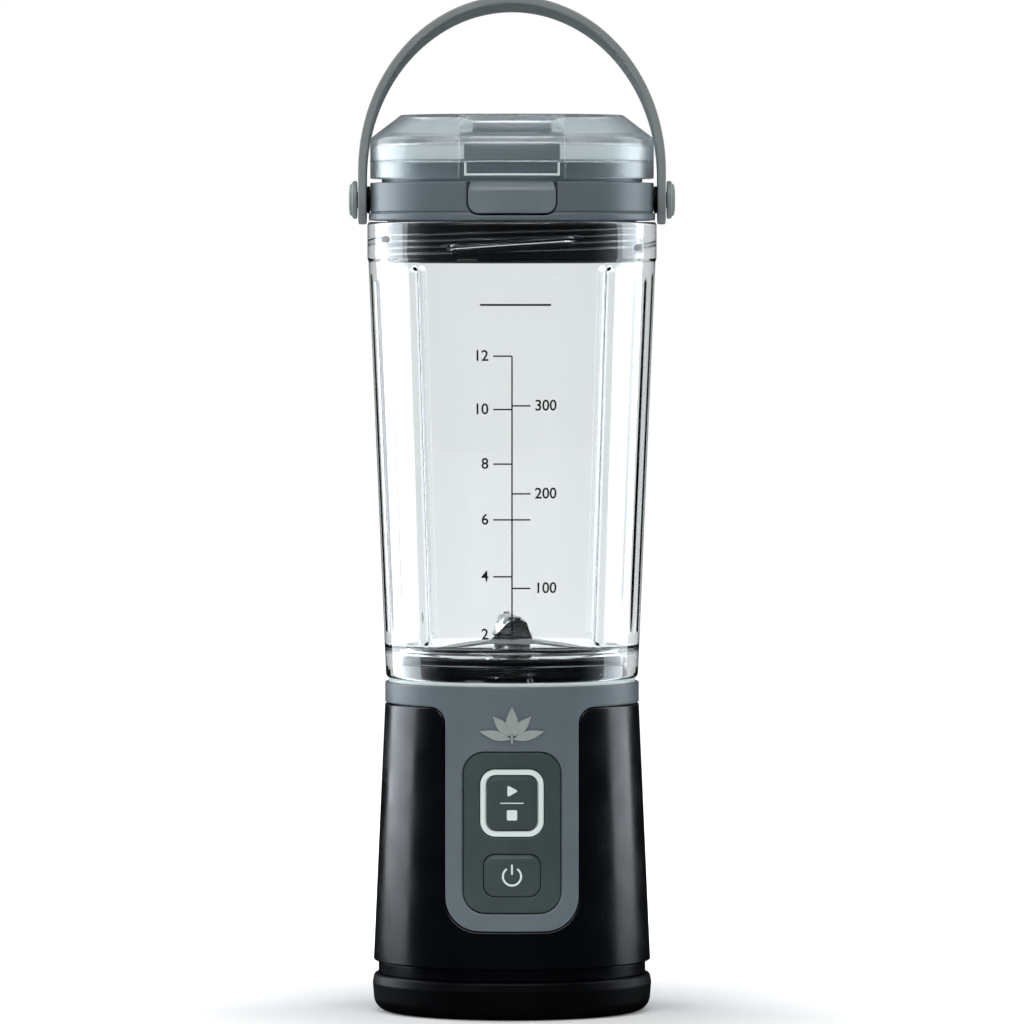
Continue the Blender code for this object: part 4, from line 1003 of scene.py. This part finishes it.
def make_scale():
    """Volume scale without words: ounces left, millilitres right, and a fill line above."""
    material = ink()
    line = 0.42 * MM

    def ounce_z(index):
        """Ticks lie a little further apart lower down, where the jar is narrower."""
        below = 5 - index
        return (186.4 - 14.86 * below - 0.173 * below ** 2) * MM
    low, high = ounce_z(0), ounce_z(5)
    bars = [("scale_spine", 0.0, (low + high) / 2, line, high - low)]
    for index in range(6):
        z = ounce_z(index)
        reach = 5.3 * MM
        bars.append((f"ounce_tick_{2 * index + 2}", -reach / 2, z, reach, line))
        print_number("ounce", 2 * index + 2, 2 * index + 2, -6.6 * MM, z, "RIGHT", material)
    for index, z in enumerate(mm(120.9, 147.6, 172.4)):
        bars.append((f"millilitre_tick_{index + 1}", 2.6 * MM, z, 5.2 * MM, line))
        print_number("millilitre", index + 1, 100 * (index + 1), 6.4 * MM, z, "LEFT", material)
    bars.append(("half_tick", 2.6 * MM, ounce_z(2), 5.2 * MM, line))
    bars.append(("fill_line", *mm(1.0, 200.8, 20.0, 0.55)))
    for name, x, z, width, height in bars:
        outline = rounded_rect(width, height, 0.1 * MM, (x, z), 3)
        shape = plate(name, [on_wall(outline, jar_radius)], *mm(-0.012, 0.012, 0.004, 0.7))
        print_on_jar(name, shape, material)


# ---------------------------------------------------------------- lid

RING_TOP = 235.4 * MM
RING_LOW = 226.8 * MM
LATCH = {"width": extent("latch").x, "bottom": base_z("latch"), "top": top_z("latch"),
         "corner": 2.9 * MM, "margin": 0.6 * MM}


def ring_radius(z):
    """Outside of the lid's ring, stepping out to the lip that rests on the jar."""
    lip = RING_R + 0.4 * MM
    crease = 0.35 * MM * math.exp(-((z - RING_LOW) / (0.28 * MM)) ** 2)
    return RING_R + (lip - RING_R) * (1 - smooth_step(RING_LOW, 0.5 * MM, z)) - crease


def make_lid_ring():
    """Outer skin of the lid, with the round-cornered pocket for the latch."""
    low, top = 224.6 * MM, RING_TOP
    margin = LATCH["margin"]
    pocket = open_top(LATCH["width"] + 2 * margin, LATCH["bottom"] - margin, top,
                      LATCH["corner"] + margin)
    outline = [(-BAND_END, low), (BAND_END, low), (BAND_END, top)]
    outline += on_wall(pocket, ring_radius)[::-1] + [(-BAND_END, top)]
    ring = plate("lid_ring", [outline], -3.2 * MM, 0.0, 0.4 * MM, 1.3 * MM)
    for z in rows(RING_LOW - 0.6 * MM, RING_LOW + 0.6 * MM, 0.1 * MM):
        cut_at(ring, Vector((0.0, z, 0.0)), Vector((0.0, 1.0, 0.0)))
    trim_to_turn(ring)

    def bend(u, v, w):
        outside = ring_radius(v) if w > -1.6 * MM else RING_R
        return round_axis(u / WRAP_R, outside + w, v)
    reshape(ring, bend)
    close_seam(ring)
    settle(shape_of("lid_ring", ring), "lid", "grey_plastic", "lid_collar")


def make_lid_inside():
    """Neck that the dome sits on, the deck with its spout, and the dark plug below them."""
    inner_r = 37.4 * MM
    neck_r, neck_top, deck_low, deck_top = mm(37.2, 241.0, 236.6, 239.0)
    neck = rounded([
        mm(35.2, 225.4, 0.3), (inner_r, 225.4 * MM, 0), (inner_r, 235.2 * MM, 0.2 * MM),
        (neck_r, 235.6 * MM, 0.2 * MM), (neck_r, neck_top, 0.4 * MM),
        (neck_r - 1.8 * MM, neck_top, 0.4 * MM), (35.2 * MM, deck_top, 0.8 * MM),
    ])
    settle(lathe("lid_neck", neck), "lid", "grey_plastic")
    centre = (0.0, middle("spout_stopper").y)
    hole = rounded_rect(*mm(20.0, 16.0, 4.0), centre)
    deck = flat_piece("lid_deck", [circle(35.3 * MM, 160), hole], deck_low, deck_top, 0.3 * MM)
    settle(deck, "lid", "grey_plastic")
    rim = rounded_rect(*mm(22.8, 18.8, 5.4), centre)
    spout = flat_piece("spout_rim", [rim, hole], deck_low, 244.0 * MM, 0.6 * MM)
    settle(spout, "lid", "grey_plastic")
    make_plug(deck_low)


def bead_section(r, z):
    """Round-fronted bead on the plug, tilted a little like a turn of a screw."""
    def section(angle):
        at = z + 1.1 * MM * math.cos(angle)
        front = arc(r + 0.1 * MM, at, 0.45 * MM, -90, 90, 10)
        return [(r - 0.5 * MM, at - 0.45 * MM)] + front + [(r - 0.5 * MM, at + 0.45 * MM)]
    return section


def make_plug(top):
    """Plug inside the jar's neck: dark, with screw ridges and glossy beads that lean with them."""
    low, r, inner = mm(212.9, 35.6, 32.6)
    wall = rows(low + 0.8 * MM, 224.4 * MM, 0.2 * MM)
    closing = rounded([mm(36.0, 224.7, 0), mm(36.0, 225.6, 0.2),
                       (inner + 1.4 * MM, 225.8 * MM, 0), (inner + 1.4 * MM, top, 0),
                       (inner, top, 0), (inner, low, 0.6 * MM), (r, low, 0.6 * MM)])

    def section(angle):
        heights = leaning(angle, wall, LID_RIDGE)
        return ridged(angle, heights, r, 1.9 * MM, LID_RIDGE) + closing
    plug = lathe("lid_plug", section, even_angles(360))
    dark = finish_material("plug_dark", (0.004, 0.006, 0.009), 0.45, grain=0.02,
                           Specular_IOR_Level=0.12)
    settle(plug, "lid", "black_plastic", finish=dark)
    gloss = finish_material("bead_gloss", (0.012, 0.018, 0.024), 0.18, grain=0.02, vary=0.02, IOR=2.0)
    for index, at in enumerate((221.4, 219.6, 217.8, 216.0)):
        ring = lathe(f"plug_bead_{index + 1}", bead_section(r, at * MM), even_angles(240))
        settle(ring, "lid", "black_plastic", finish=gloss)
    z = base_z("lid_gasket")
    soft = 0.15 * MM
    seal = rounded([(37.5 * MM, z, soft), (39.4 * MM, z, soft), (39.4 * MM, z + 0.7 * MM, soft),
                    (37.5 * MM, z + 0.7 * MM, soft)])
    settle(lathe("lid_ring_seal", seal), "lid_seal", "grey_rubber", "lid_gasket")


SCOOP_HALF = 15.6 * MM
SCOOP_DIP = 1.9 * MM
FLAP_HALF = 14.7 * MM
HINGE = Vector((0.0, -9.5 * MM, 253.1 * MM))
KNUCKLE_R = 1.55 * MM


def dome_section(angle):
    """Outline of the dome; round the front its upper corner dips into a thumb scoop."""
    x, y = math.cos(angle), math.sin(angle)
    sideways = abs(x) * 34.0 * MM
    front = 1.0 if y < 0 else 0.0
    scoop = front * (1 - smooth_step(SCOOP_HALF - 2.6 * MM, 5.2 * MM, sideways))
    dip = SCOOP_DIP * scoop
    chamfer = []
    start = mm(40.1, 248.3)
    end = (32.6 * MM, DOME_TOP - 0.7 * MM - dip)
    for step in range(1, 12):
        t = step / 12
        hollow = 0.9 * MM * scoop * math.sin(math.pi * t)
        chamfer.append((start[0] + (end[0] - start[0]) * t - hollow * 0.6,
                        start[1] + (end[1] - start[1]) * t - hollow * 0.8))
    rim = rounded([mm(36.0, 250.0, 0), (end[0], end[1], 0.45 * MM),
                   (32.1 * MM, DOME_TOP - 0.25 * MM - dip * 0.15, 0.25 * MM),
                   (31.4 * MM, DOME_TOP, 0.4 * MM), (0.0, DOME_TOP, 0)], 4)[1:]
    lower = rounded([(37.5 * MM, DOME_LOW, 0.2 * MM), (RING_R, DOME_LOW, 0.5 * MM),
                     (RING_R, 247.6 * MM, 0.9 * MM), start + (0.3 * MM,), mm(36.0, 251.8, 0)])[:-1]
    inside = rounded([(0.0, 252.7 * MM, 0), mm(30.2, 252.7, 1.0),
                      mm(35.9, 247.9, 1.5), mm(38.4, 246.2, 1.5),
                      mm(38.4, 241.5, 0.6), mm(37.5, 241.0, 0.2)])
    return lower + chamfer + rim + inside


def make_dome():
    """Frosted dome in two pieces: the fixed cover, and the sip flap hinged across its top."""
    notch = FLAP_HALF + 0.12 * MM
    back = HINGE.y + KNUCKLE_R + 0.2 * MM
    cover = lathe("frosted_dome", dome_section, even_angles(320))
    boolean(cover, box_shape((-notch, -60 * MM, 230 * MM), (notch, back, 260 * MM)), "DIFFERENCE")
    settle(cover, "lid", "smoke_plastic", "dome_cover")
    flap = lathe("frosted_flap", dome_section, even_angles(320))
    keep = box_shape((-FLAP_HALF, -60 * MM, base_z("sip_flap")), (FLAP_HALF, HINGE.y, 260 * MM))
    boolean(flap, keep, "INTERSECT")
    settle(flap, "sip_flap", "smoke_plastic", "sip_flap")
    knuckle = rounded([(0.7 * MM, -FLAP_HALF, 0), (KNUCKLE_R, -FLAP_HALF, 0.2 * MM),
                       (KNUCKLE_R, FLAP_HALF, 0.2 * MM), (0.7 * MM, FLAP_HALF, 0)])
    barrel = on_cross_axis(lathe("flap_knuckle", knuckle, even_angles(64)), HINGE)
    settle(barrel, "sip_flap", "smoke_plastic")
    make_flap_parts()


def on_cross_axis(piece, place):
    """Lay a piece that was turned about Z along X, centred on a hinge."""
    return moved(piece, Matrix.Translation(place) @ Matrix.Rotation(QUARTER, 4, "Y"))


def cross_pin(name, node_name, body, slot="steel"):
    size, place = extent(node_name), middle(node_name)
    r, half = size.z / 2, size.x / 2
    section = rounded([(0.0, -half, 0), (r, -half, r / 3), (r, half, r / 3), (0.0, half, 0)])
    pin = on_cross_axis(lathe(name, section, even_angles(32)), place)
    settle(pin, body, slot, node_name)


def make_flap_parts():
    cross_pin("flap_pin", "flap_hinge_pin", "lid")
    for name, node_name, corner, bevel, slot in (
        ("flap_pad", "flap_liner", 2.0 * MM, 0.5 * MM, "grey_plastic"),
        ("spout_bung", "spout_stopper", 4.8 * MM, 0.8 * MM, "grey_rubber"),
    ):
        low, high = box(node_name)
        size, centre = extent(node_name), middle(node_name)
        outline = rounded_rect(size.x, size.y, corner, (centre.x, centre.y))
        piece = flat_piece(name, [outline], low.z, high.z, bevel)
        settle(piece, "sip_flap", slot, node_name)
    low, top, half = mm(241.5, 246.4, 13.4)
    outline = rounded_rect(2 * half, top - low, 0.6 * MM, (0.0, (low + top) / 2))
    liner = front_plate("flap_front_liner", [outline], -1.2 * MM, 0.0, 0.3 * MM,
                        lambda z: 37.7 * MM)
    settle(liner, "sip_flap", "handle_grey")
    low, top, line = mm(237.2, 240.9, 0.55)
    outer = 26.8 * MM / 2
    inner = outer - line
    outline = [(-outer, top), (-outer, low), (outer, low), (outer, top), (inner, top),
               (inner, low + line), (-inner, low + line), (-inner, top)]
    catch = front_plate("flap_catch", [outline], *mm(-0.4, 0.3, 0.2), lambda z: RING_R)
    settle(catch, "sip_flap", "light_plastic")


def make_latch():
    """Tab that fills the ring's pocket; its top slopes back to catch the light."""
    low, top = LATCH["bottom"], LATCH["top"] - 0.2 * MM
    outline = open_top(LATCH["width"], low, top, LATCH["corner"])
    outline = on_wall(outline, lambda z: RING_R)
    shape = plate("latch_tab", [outline], *mm(-4.4, 0.5, 0.45, 0.8, 0.2), steps=4)
    slope_start, brow = LATCH["top"] - 3.4 * MM, 2.0 * MM

    def bend(u, v, w):
        risen = max(0.0, v - slope_start) if w > -2 * MM else 0.0
        back = 1.1 * (risen ** 2 / (2 * brow) if risen < brow else risen - brow / 2)
        return round_axis(u / WRAP_R, RING_R + w - back, v)
    tab = shape_of("latch_tab", reshape(shape, bend))
    # The tab is the ring's grey plastic in a paler copy, which stands in for the light it catches:
    # painted light.
    painted_lit_grey = finish_material("latch_painted_light_grey", (0.160, 0.198, 0.218), 0.36)
    settle(tab, "latch", "grey_plastic", "latch", finish=painted_lit_grey)
    cross_pin("latch_axle", "latch_pin", "lid")
    low, high = box("latch_spring")
    turns, steps = 4, 96
    curve = bpy.data.curves.new("latch_coil", "CURVE")
    curve.dimensions = "3D"
    curve.bevel_depth = 0.2 * MM
    curve.bevel_resolution = 2
    curve.use_fill_caps = True
    spline = curve.splines.new("POLY")
    spline.points.add(steps)
    place = middle("latch_spring")
    coil_r = (high.x - low.x) / 2 - curve.bevel_depth
    for step, point in enumerate(spline.points):
        angle = TAU * turns * step / steps
        y = high.y - (high.y - low.y) * step / steps
        point.co = (coil_r * math.cos(angle), y, place.z + coil_r * math.sin(angle), 1.0)
    coil = shape_of("latch_coil", shape_from_curve(curve, 0.0))
    settle(coil, "lid", "steel", "latch_spring")


# ---------------------------------------------------------------- handle

PIVOT = middle("handle_rivet_left") * 0.5 + middle("handle_rivet_right") * 0.5
STRAP = {"half": 43.9 * MM, "thick": 2.4 * MM, "leg": 7.5 * MM, "crown": 58.0 * MM,
         "depth": 14.0 * MM, "lean": math.radians(9)}


def strap_path():
    """Middle line of the strap from its left pivot over to its right one, evenly measured."""
    half = STRAP["half"] - STRAP["thick"] / 2
    rise = STRAP["crown"] - STRAP["thick"] / 2 - STRAP["leg"]
    angles = np.linspace(math.pi, 0.0, 721)
    arch = np.stack([half * np.cos(angles), STRAP["leg"] + rise * np.sin(angles)], axis=1)
    line = np.concatenate([[[-half, -STRAP["depth"]]], arch, [[half, -STRAP["depth"]]]])
    steps = np.hypot(*np.diff(line, axis=0).T)
    measured = np.concatenate([[0.0], np.cumsum(steps)])
    return line, measured


def make_handle():
    """Flat strap bent into an arch, with round ends on the rivets, leaning back a little."""
    line, measured = strap_path()
    overrun = STRAP["depth"]
    length = measured[-1] - 2 * overrun
    half, r = length / 2, STRAP["depth"] / 2
    outline = arc(half, 0.0, r, -90, 90, 24) + arc(-half, 0.0, r, 90, 270, 24)
    holes = [arc(side * half, 0.0, 2.6 * MM, 0, 345, 23) for side in (-1, 1)]
    thick = STRAP["thick"] / 2
    shape = plate("carry_strap", [outline] + holes, -thick, thick, 0.55 * MM, 1.2 * MM, None, 4)
    lean = Matrix.Translation(PIVOT) @ Matrix.Rotation(-STRAP["lean"], 4, "X")

    def bend(u, v, w):
        along = u + half + overrun
        x, z = (np.interp(along, measured, line[:, i]) for i in (0, 1))
        ahead, behind = (
            [np.interp(along + d, measured, line[:, i]) for i in (0, 1)] for d in mm(0.2, -0.2)
        )
        tangent = Vector((ahead[0] - behind[0], ahead[1] - behind[1])).normalized()
        outward = Vector((-tangent.y, tangent.x))
        return lean @ Vector((x + outward.x * w, v, z + outward.y * w))
    settle(shape_of("carry_strap", reshape(shape, bend)), "handle", "handle_grey", "handle_strap")
    for name, side in (("left", -1), ("right", 1)):
        make_rivet(name, side)


def make_rivet(name, side):
    """Domed two-step rivet head on its shank, with a dark washer inside the strap."""
    low, high = box(f"handle_rivet_{name}")
    tip = max(abs(low.x), abs(high.x))
    start = min(abs(low.x), abs(high.x))
    head = tip - 2.4 * MM
    section = rounded([
        (0.0, start, 0), (2.3 * MM, start, 0), (2.3 * MM, head, 0), (5.4 * MM, head, 0.35 * MM),
        (5.4 * MM, head + 1.2 * MM, 0.6 * MM), (4.7 * MM, head + 1.5 * MM, 0.15 * MM),
        (4.3 * MM, head + 2.1 * MM, 0.7 * MM), (2.6 * MM, tip - 0.05 * MM, 1.2 * MM), (0.0, tip, 0),
    ])
    turn = Matrix.Rotation(side * QUARTER, 4, "Y")
    place = Matrix.Translation((0.0, 0.0, PIVOT.z)) @ turn
    head_piece = moved(lathe(f"rivet_{name}", section, even_angles(96)), place)
    settle(head_piece, "lid", "handle_grey", f"handle_rivet_{name}")
    inside, outside = RING_R + 0.05 * MM, STRAP["half"] - STRAP["thick"] - 0.12 * MM
    ring = rounded([(2.35 * MM, inside, 0.1 * MM), (3.9 * MM, inside, 0.2 * MM),
                    (3.9 * MM, outside, 0.2 * MM), (2.35 * MM, outside, 0.1 * MM)])
    washer = moved(lathe(f"pivot_washer_{name}", ring, even_angles(64)), place)
    settle(washer, "lid", "black_rubber")


# ---------------------------------------------------------------- stage, lights and camera

BOUNCED_WHITE = 0.90
LAMPS_AIM = Vector((0.0, 0.0, 0.14))
CAMERA_PLACE = (0.0, -2.48, 0.219 + LIFT)
CAMERA_AIM = Vector((0.0, 0.0, 0.1413 + LIFT))


def whiteness(tree, rest, place, spread_over):
    """1 straight from the camera, also through clear pieces. After a mirror bounce inside them
    the back half of the room stays white and the front half, behind the camera, is dark. For
    every other ray it is rest, so that dark surfaces have dark surroundings to mirror."""
    ray = node(tree, "LightPath").outputs
    through = node(tree, "Math", {0: ray["Is Camera Ray"], 1: ray["Is Transmission Ray"]},
                   operation="MAXIMUM")
    bounces = node(tree, "Math", {0: ray["Glossy Depth"], 1: ray["Diffuse Depth"]}, operation="ADD")
    behind = node(tree, "SeparateXYZ", {0: place}).outputs["Y"]
    back = node(tree, "MapRange", {"Value": behind, "From Min": -spread_over,
                                   "From Max": spread_over, "To Min": -rest,
                                   "To Max": BOUNCED_WHITE - rest})
    level = node(tree, "MapRange", {"Value": bounces.outputs[0], "To Min": 1.0 - rest,
                                    "To Max": back.outputs[0]})
    made = node(tree, "Math", {0: through.outputs[0], 1: level.outputs[0], 2: rest},
                operation="MULTIPLY_ADD")
    return made.outputs[0]


def make_stage():
    """Pale round floor that runs into a pale surround."""
    shape = bmesh.new()
    bmesh.ops.create_circle(shape, cap_ends=True, segments=96, radius=6.0)
    floor = shape_of("floor", shape)
    material = bpy.data.materials.new("pale_floor")
    material.use_nodes = True
    tree = material.node_tree
    shader = tree.nodes["Principled BSDF"]
    shader.inputs["Roughness"].default_value = 0.6
    shader.inputs["Specular IOR Level"].default_value = 0.1
    paper = noise(tree, 40.0)
    tree.links.new(blend_colours(tree, paper, (0.84, 0.84, 0.84), (0.88, 0.88, 0.88)),
                   shader.inputs["Base Color"])
    shader.inputs["Emission Color"].default_value = (1.0, 1.0, 1.0, 1.0)
    place = node(tree, "TexCoord").outputs["Object"]
    away = node(tree, "VectorMath", {0: place}, operation="LENGTH")
    # The floor's glow to the camera fades out in a disc round the object: painted shade there, through
    # which the lit floor and its real cast shadow show.
    painted_shade_ramp = node(tree, "MapRange", {"Value": away.outputs["Value"], "From Min": 0.05,
                                  "From Max": 0.22, "To Min": 0.12, "To Max": 1.0})
    # Near the object the floor also glows for diffuse rays, though it is no lamp: painted bounce light
    # on the object's lower parts.
    painted_bounce_ramp = node(tree, "MapRange", {"Value": away.outputs["Value"], "From Min": 0.12,
                                   "From Max": 0.32, "To Min": 0.80, "To Max": 0.06})
    white = whiteness(tree, 0.0, place, 0.4)
    seen = node(tree, "Math", {0: white, 1: painted_shade_ramp.outputs[0]}, operation="MULTIPLY")
    glow = node(tree, "Math", {0: node(tree, "LightPath").outputs["Is Diffuse Ray"],
                               1: painted_bounce_ramp.outputs[0], 2: seen.outputs[0]}, operation="MULTIPLY_ADD")
    tree.links.new(glow.outputs[0], shader.inputs["Emission Strength"])
    # In reflections the pale floor is swapped for a near-black one: a painted dark reflection.
    ray = node(tree, "LightPath").outputs
    mirrored = node(tree, "Math", {0: ray["Is Glossy Ray"], 1: ray["Is Transmission Ray"]},
                    operation="SUBTRACT", use_clamp=True)
    painted_dark_reflection = node(tree, "BsdfDiffuse", {"Color": (0.01, 0.01, 0.01, 1.0)})
    swap_shader(tree, mirrored.outputs[0], painted_dark_reflection)
    floor.data.materials.append(material)


def make_surround():
    """White room behind and through clear pieces, kept dim in what the surfaces mirror."""
    world = bpy.data.worlds.new("studio")
    bpy.context.scene.world = world
    world.use_nodes = True
    tree = world.node_tree
    background = tree.nodes["Background"]
    background.inputs["Color"].default_value = (1.0, 1.0, 1.0, 1.0)
    direction = node(tree, "TexCoord").outputs["Generated"]
    tree.links.new(whiteness(tree, 0.05, direction, 0.3), background.inputs["Strength"])


def softbox(name, azimuth, elevation, distance, size, power, colour=(1.0, 1.0, 1.0)):
    """Rectangular soft light on an arc round the object; azimuth 0 is the front."""
    light = bpy.data.lights.new(name, "AREA")
    light.shape = "RECTANGLE"
    light.size, light.size_y = size
    light.energy = power
    light.color = colour
    lamp = link_new(name, light)
    a, e = math.radians(azimuth), math.radians(elevation)
    back = Vector((math.sin(a) * math.cos(e), -math.cos(a) * math.cos(e), math.sin(e)))
    lamp.location = LAMPS_AIM + back * distance
    lamp.rotation_euler = back.to_track_quat("Z", "Y").to_euler()


def make_lights():
    cool = (0.86, 0.93, 1.0)
    softbox("side_left", -118, 6, 1.1, (0.84, 1.5), 16.0, cool)
    softbox("side_right", 113, 6, 1.1, (0.60, 1.5), 9.8, cool)
    softbox("front_high", 0, 52, 1.5, (1.4, 0.3), 10.5)
    softbox("front_left", -38, 28, 1.5, (0.45, 0.9), 2.0)
    softbox("overhead", 0, 82, 1.2, (0.9, 0.7), 4.0)


def make_camera():
    camera = bpy.data.cameras.new("camera")
    camera.lens = 305.0
    camera.sensor_width = 36.0
    camera.clip_end = 20.0
    holder = link_new("camera", camera)
    holder.location = CAMERA_PLACE
    aim = CAMERA_AIM - holder.location
    holder.rotation_euler = aim.to_track_quat("-Z", "Y").to_euler()
    bpy.context.scene.camera = holder


make_camera()
make_stage()
make_surround()
make_lights()
dress_cad_nodes()
make_foot()
make_groove_band()
make_sleeve()
make_fascia()
make_controls()
make_emblem()
make_port()
make_platform()
make_rotor()
make_jar()
make_scale()
make_lid_ring()
make_lid_inside()
make_dome()
make_latch()
make_handle()
bpy.context.scene.view_settings.view_transform = "Standard"
bpy.context.view_layer.update()
